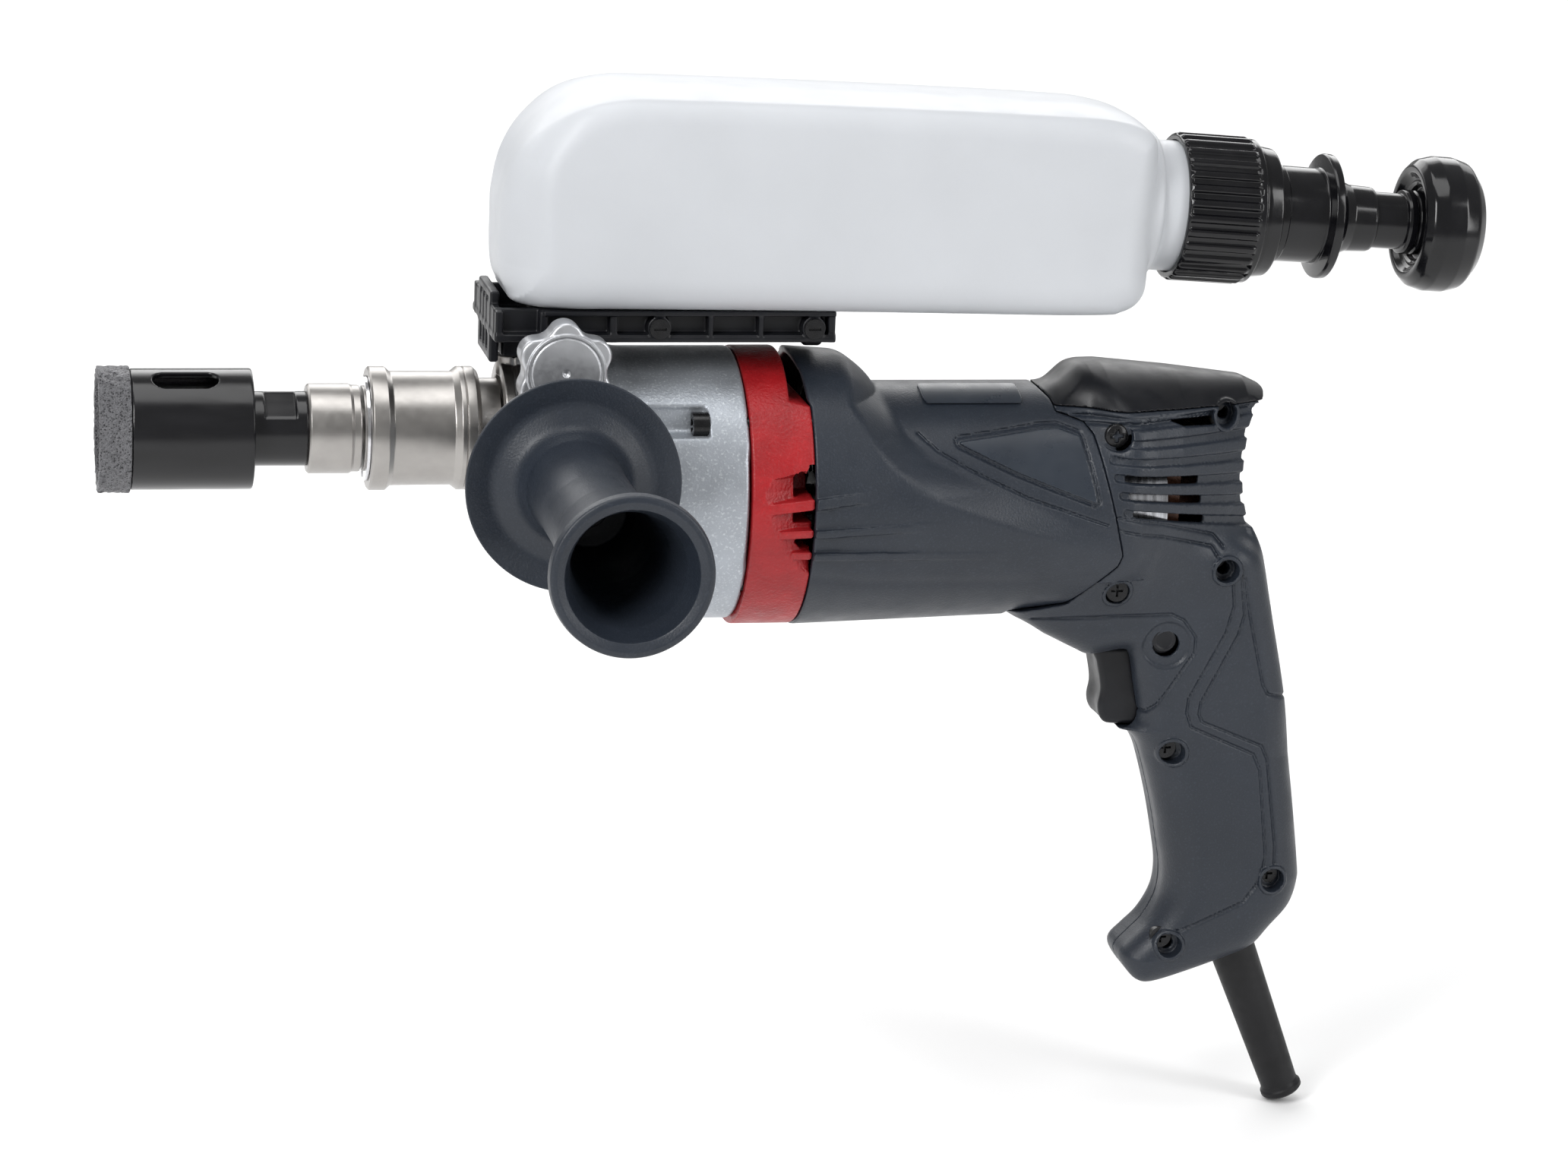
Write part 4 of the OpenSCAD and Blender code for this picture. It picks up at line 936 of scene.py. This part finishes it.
def cap_ribs(x, y, z):
    """Bottle cap: ribbed skirt, step and shoulder."""
    s, d = pump_frame(x, z)
    r, a = np.hypot(d, y), np.arctan2(d, y)
    rib = 0.62 * np.tanh(2.2 * np.cos(30 * a))
    skirt = smax(r - 23.3 - rib * step01((s - 10) / 1.5) * step01((34.5 - s) / 1.5), slab(s, 10, 36.2), 0.7)
    f = smin(skirt, smax(r - 21.2 + 0.12 * np.clip(s - 38, 0, 9), slab(s, 33, 42.6), 1.0), 0.9)
    f = cut(f, smax(r - 21.3, s - 31.4, 0.4), 0.4)
    return cut(f, r - 16.4, 0.4)


show(solid("cap_skirt", cap_ribs, (340, -25, 44), (380, 25, 98), 0.42), "gloss_black", "bottle_cap")
show(turned("collar_sleeve", [
    (31.1, 9.4), (31.1, 15.8, 0.2), (46, 15.8, 0.1), (46.4, 15.5, 0.1), (59.6, 15.4, 0.8), (60.2, 20.0, 0.5),
    (61.0, 20.3, 0.5), (63.2, 20.2, 0.6), (63.5, 16.2, 1.2), (66.5, 12.2, 2.5), (70, 10.8, 2),
    (77, 10.5, 0.3), (78, 10.2, 0.3), (78, 9.4)], *PUMP), "gloss_black", "pump_collar")
show(turned("plunger_rod", [
    (-24, 0), (-24, 9.1), (88.3, 9.1, 0.1), (88.6, 10.3, 0.3), (89.6, 10.5, 0.3), (91.6, 10.5, 0.3),
    (91.8, 9.6, 0.2), (92.6, 10.5, 0.3), (96, 10.5), (96, 0)], *PUMP), "gloss_black", "pump_rod")
show(turned("plunger_knob", [
    (96.1, 0), (96.1, 12, 0.5), (94.2, 12.4, 0.4), (93.4, 13.4, 0.4), (94.2, 14.2, 0.4), (93.2, 15.2, 0.5),
    (91.4, 16.4, 1), (91.2, 18.4, 1.5), (93.6, 20.8, 2.5), (98, 22, 3), (104, 22, 3), (109, 20.6, 3),
    (112.6, 16, 4), (114.6, 8, 6), (115, 0)], *PUMP), "gloss_black", "pump_knob")
show(turned("piston_cup", [
    (-31, 0), (-31, 15.2, 0.5), (-30, 15.9, 0.3), (-28.6, 15.4, 0.3), (-27, 15.9, 0.3), (-24.1, 15.5, 0.3),
    (-24.1, 0)], *PUMP), "rubber", "pump_piston")
show(turned("lead_guard", [
    (-12, 4), (-12, 7.3), (-9, 7.3), (-9, 6.6), (-5, 6.6), (-1, 7.9, 0.6), (2, 7.8, 1), (56, 6.3, 0.8),
    (57.2, 6.6, 0.5), (57.8, 7.1, 0.4), (59.2, 7.1, 0.4), (60, 6.3, 0.4), (60, 4.4, 0.4), (56, 4)],
    *GUARD), "rubber", "cord_guard")
show(turned("copper_end", [
    (155.7, 2.0), (155.7, 4.2, 0.1), (157.2, 4.2, 0.2), (157.6, 3.8, 0.2), (160, 3.4, 0.5), (160, 2.0, 0.3)],
    (0, 0, 36.6), (1, 0, 0), segments=64), "copper", "valve_fitting")


TRIGGER = spline([(324.2, -73.4), (325.6, -78.6), (327.2, -87), (326.6, -93), (327.6, -97), (330, -99),
                  (336, -99.3), (342.4, -99.2), (342.8, -92), (342.8, -78), (342.3, -73), (333, -72.7)])
trigger_side = Outline(TRIGGER, 12, 0.25)


def trigger(x, y, z):
    """Trigger: long finger pad with a hooked toe."""
    pad = trigger_side(x, z)
    f = round_meet(pad, np.abs(y) - 8.9, 2.0)
    return f + 0.6 * np.exp(-((y / 5.5) ** 2)) * step01((330 - x) / 2)


show(solid("trigger_pad", trigger, (322, -10, -101), (344, 10, -71), 0.4), "black_plastic", "trigger")
show(turned("button_cap", [
    (14.6, 0), (14.6, 5.2, 0.2), (17.0, 5.2, 0.2), (17.2, 4, 0.1), (19.6, 4, 0.5), (20, 3.3, 0.4),
    (19.6, 2.6, 0.4), (19.4, 0)], (344.5, 0, -67.6), (0, -1, 0), r=0.3, segments=72), "black_plastic",
    "lock_button")


def thin_plate(skin, zone, lift):
    """A plate of the given outline lying on the skin."""
    return lambda x, y, z: smax(smax(skin(x, y, z) - lift, -skin(x, y, z) - 0.3, 0.15), zone(x, y, z), 0.3)


for sign, word in ((-1, "left"), (1, "right")):
    zone = lambda x, y, z, s=sign: np.maximum(badge(x, z) - 0.4, 20 - s * y)
    piece = solid("badge_" + word, thin_plate(barrel, zone, 0.85), (264, min(sign * 20, sign * 45), -21),
                  (316, max(sign * 20, sign * 45), 8), 0.45)
    show(piece, "label", *(["side_badges"] if sign < 0 else []), body="casing")
label_zone = lambda x, y, z: block(x, y, z, (261, -30, 11), (293.5, -4, 30), 1.5)
show(solid("type_label", thin_plate(barrel, label_zone, 0.8), (260, -31, 9), (295, -3, 20), 0.45),
     "label", "rating_plate")

BEVELLED = ("gear_case_screws", "handle_screws", "bracket_screws", "handle_stud", "switch_body", "cord_clamp")
for node in BEVELLED:
    bevel = frame["nodes"][node].modifiers.new("edges", "BEVEL")
    bevel.width = 0.25 * MM
    bevel.segments = 2
    bevel.limit_method = "ANGLE"
    bevel.angle_limit = math.radians(40)


# ---------- floor, light and camera ----------

def stage_floor():
    """White floor just under the part."""
    gap, half = 0.0005, 12
    low = cad_bounds[0].z - gap
    mesh = bpy.data.meshes.new("floor")
    corners = [(-half, -half, low), (half, -half, low), (half, half, low), (-half, half, low)]
    mesh.from_pydata(corners, [], [(0, 1, 2, 3)])
    floor = bpy.data.objects.new("floor", mesh)
    bpy.context.scene.collection.objects.link(floor)
    mesh.materials.append(surface("floor", (0.9, 0.9, 0.9), 0.75, vary=0.01, mottle_mm=900, grain_mm=4,
                                  bump_mm=0.01))


def softbox(name, place, aim, size, power):
    """A rectangular area light at place that points at aim."""
    light = bpy.data.lights.new(name, "AREA")
    light.shape = "RECTANGLE"
    light.size, light.size_y = size
    light.energy = power
    obj = bpy.data.objects.new(name, light)
    obj.location = place
    obj.rotation_mode = "QUATERNION"
    obj.rotation_quaternion = (Vector(aim) - Vector(place)).to_track_quat("-Z", "Y")
    bpy.context.scene.collection.objects.link(obj)


def light_studio():
    """Pale world light and five softboxes."""
    world = bpy.data.worlds.new("studio")
    bpy.context.scene.world = world
    world.use_nodes = True
    back = world.node_tree.nodes["Background"]
    back.inputs["Color"].default_value = (1, 1, 1, 1)
    back.inputs["Strength"].default_value = 0.34
    centre = (0.22, 0, -0.05)
    softbox("overhead", (0.1, -0.1, 1.4), centre, (1.4, 0.7), 9)
    softbox("left", (-0.7, -0.9, 0.75), centre, (0.45, 0.9), 16)
    softbox("right", (1.3, -0.9, 0.5), centre, (0.4, 1.1), 8)
    softbox("behind", (0.3, 1.3, 0.7), centre, (1.8, 0.6), 6)
    softbox("far_floor", (0.3, 3.4, 1.5), (0.3, 3.4, 0), (6, 4), 110)


def photo_camera():
    """Camera at the photograph's angle, looking slightly down from the front left."""
    turn, rise, roll = math.radians(11.75), math.radians(14.4), math.radians(2.3)
    target, distance = Vector((0.22109, 0, -0.05374)), 1.43806
    back = Vector((-math.sin(turn) * math.cos(rise), -math.cos(turn) * math.cos(rise), math.sin(rise)))
    right = Vector((math.cos(turn), -math.sin(turn), 0))
    up = back.cross(right)
    across = right * math.cos(roll) + up * math.sin(roll)
    upright = up * math.cos(roll) - right * math.sin(roll)
    cam = bpy.data.cameras.new("photo_camera")
    cam.sensor_width = 36
    cam.lens = 101.68
    obj = bpy.data.objects.new("photo_camera", cam)
    bpy.context.scene.collection.objects.link(obj)
    place = Matrix((across, upright, back)).transposed().to_4x4()
    place.translation = target + back * distance
    obj.matrix_world = place
    bpy.context.scene.camera = obj


stage_floor()
light_studio()
photo_camera()
bpy.context.scene.view_settings.view_transform = "Standard"
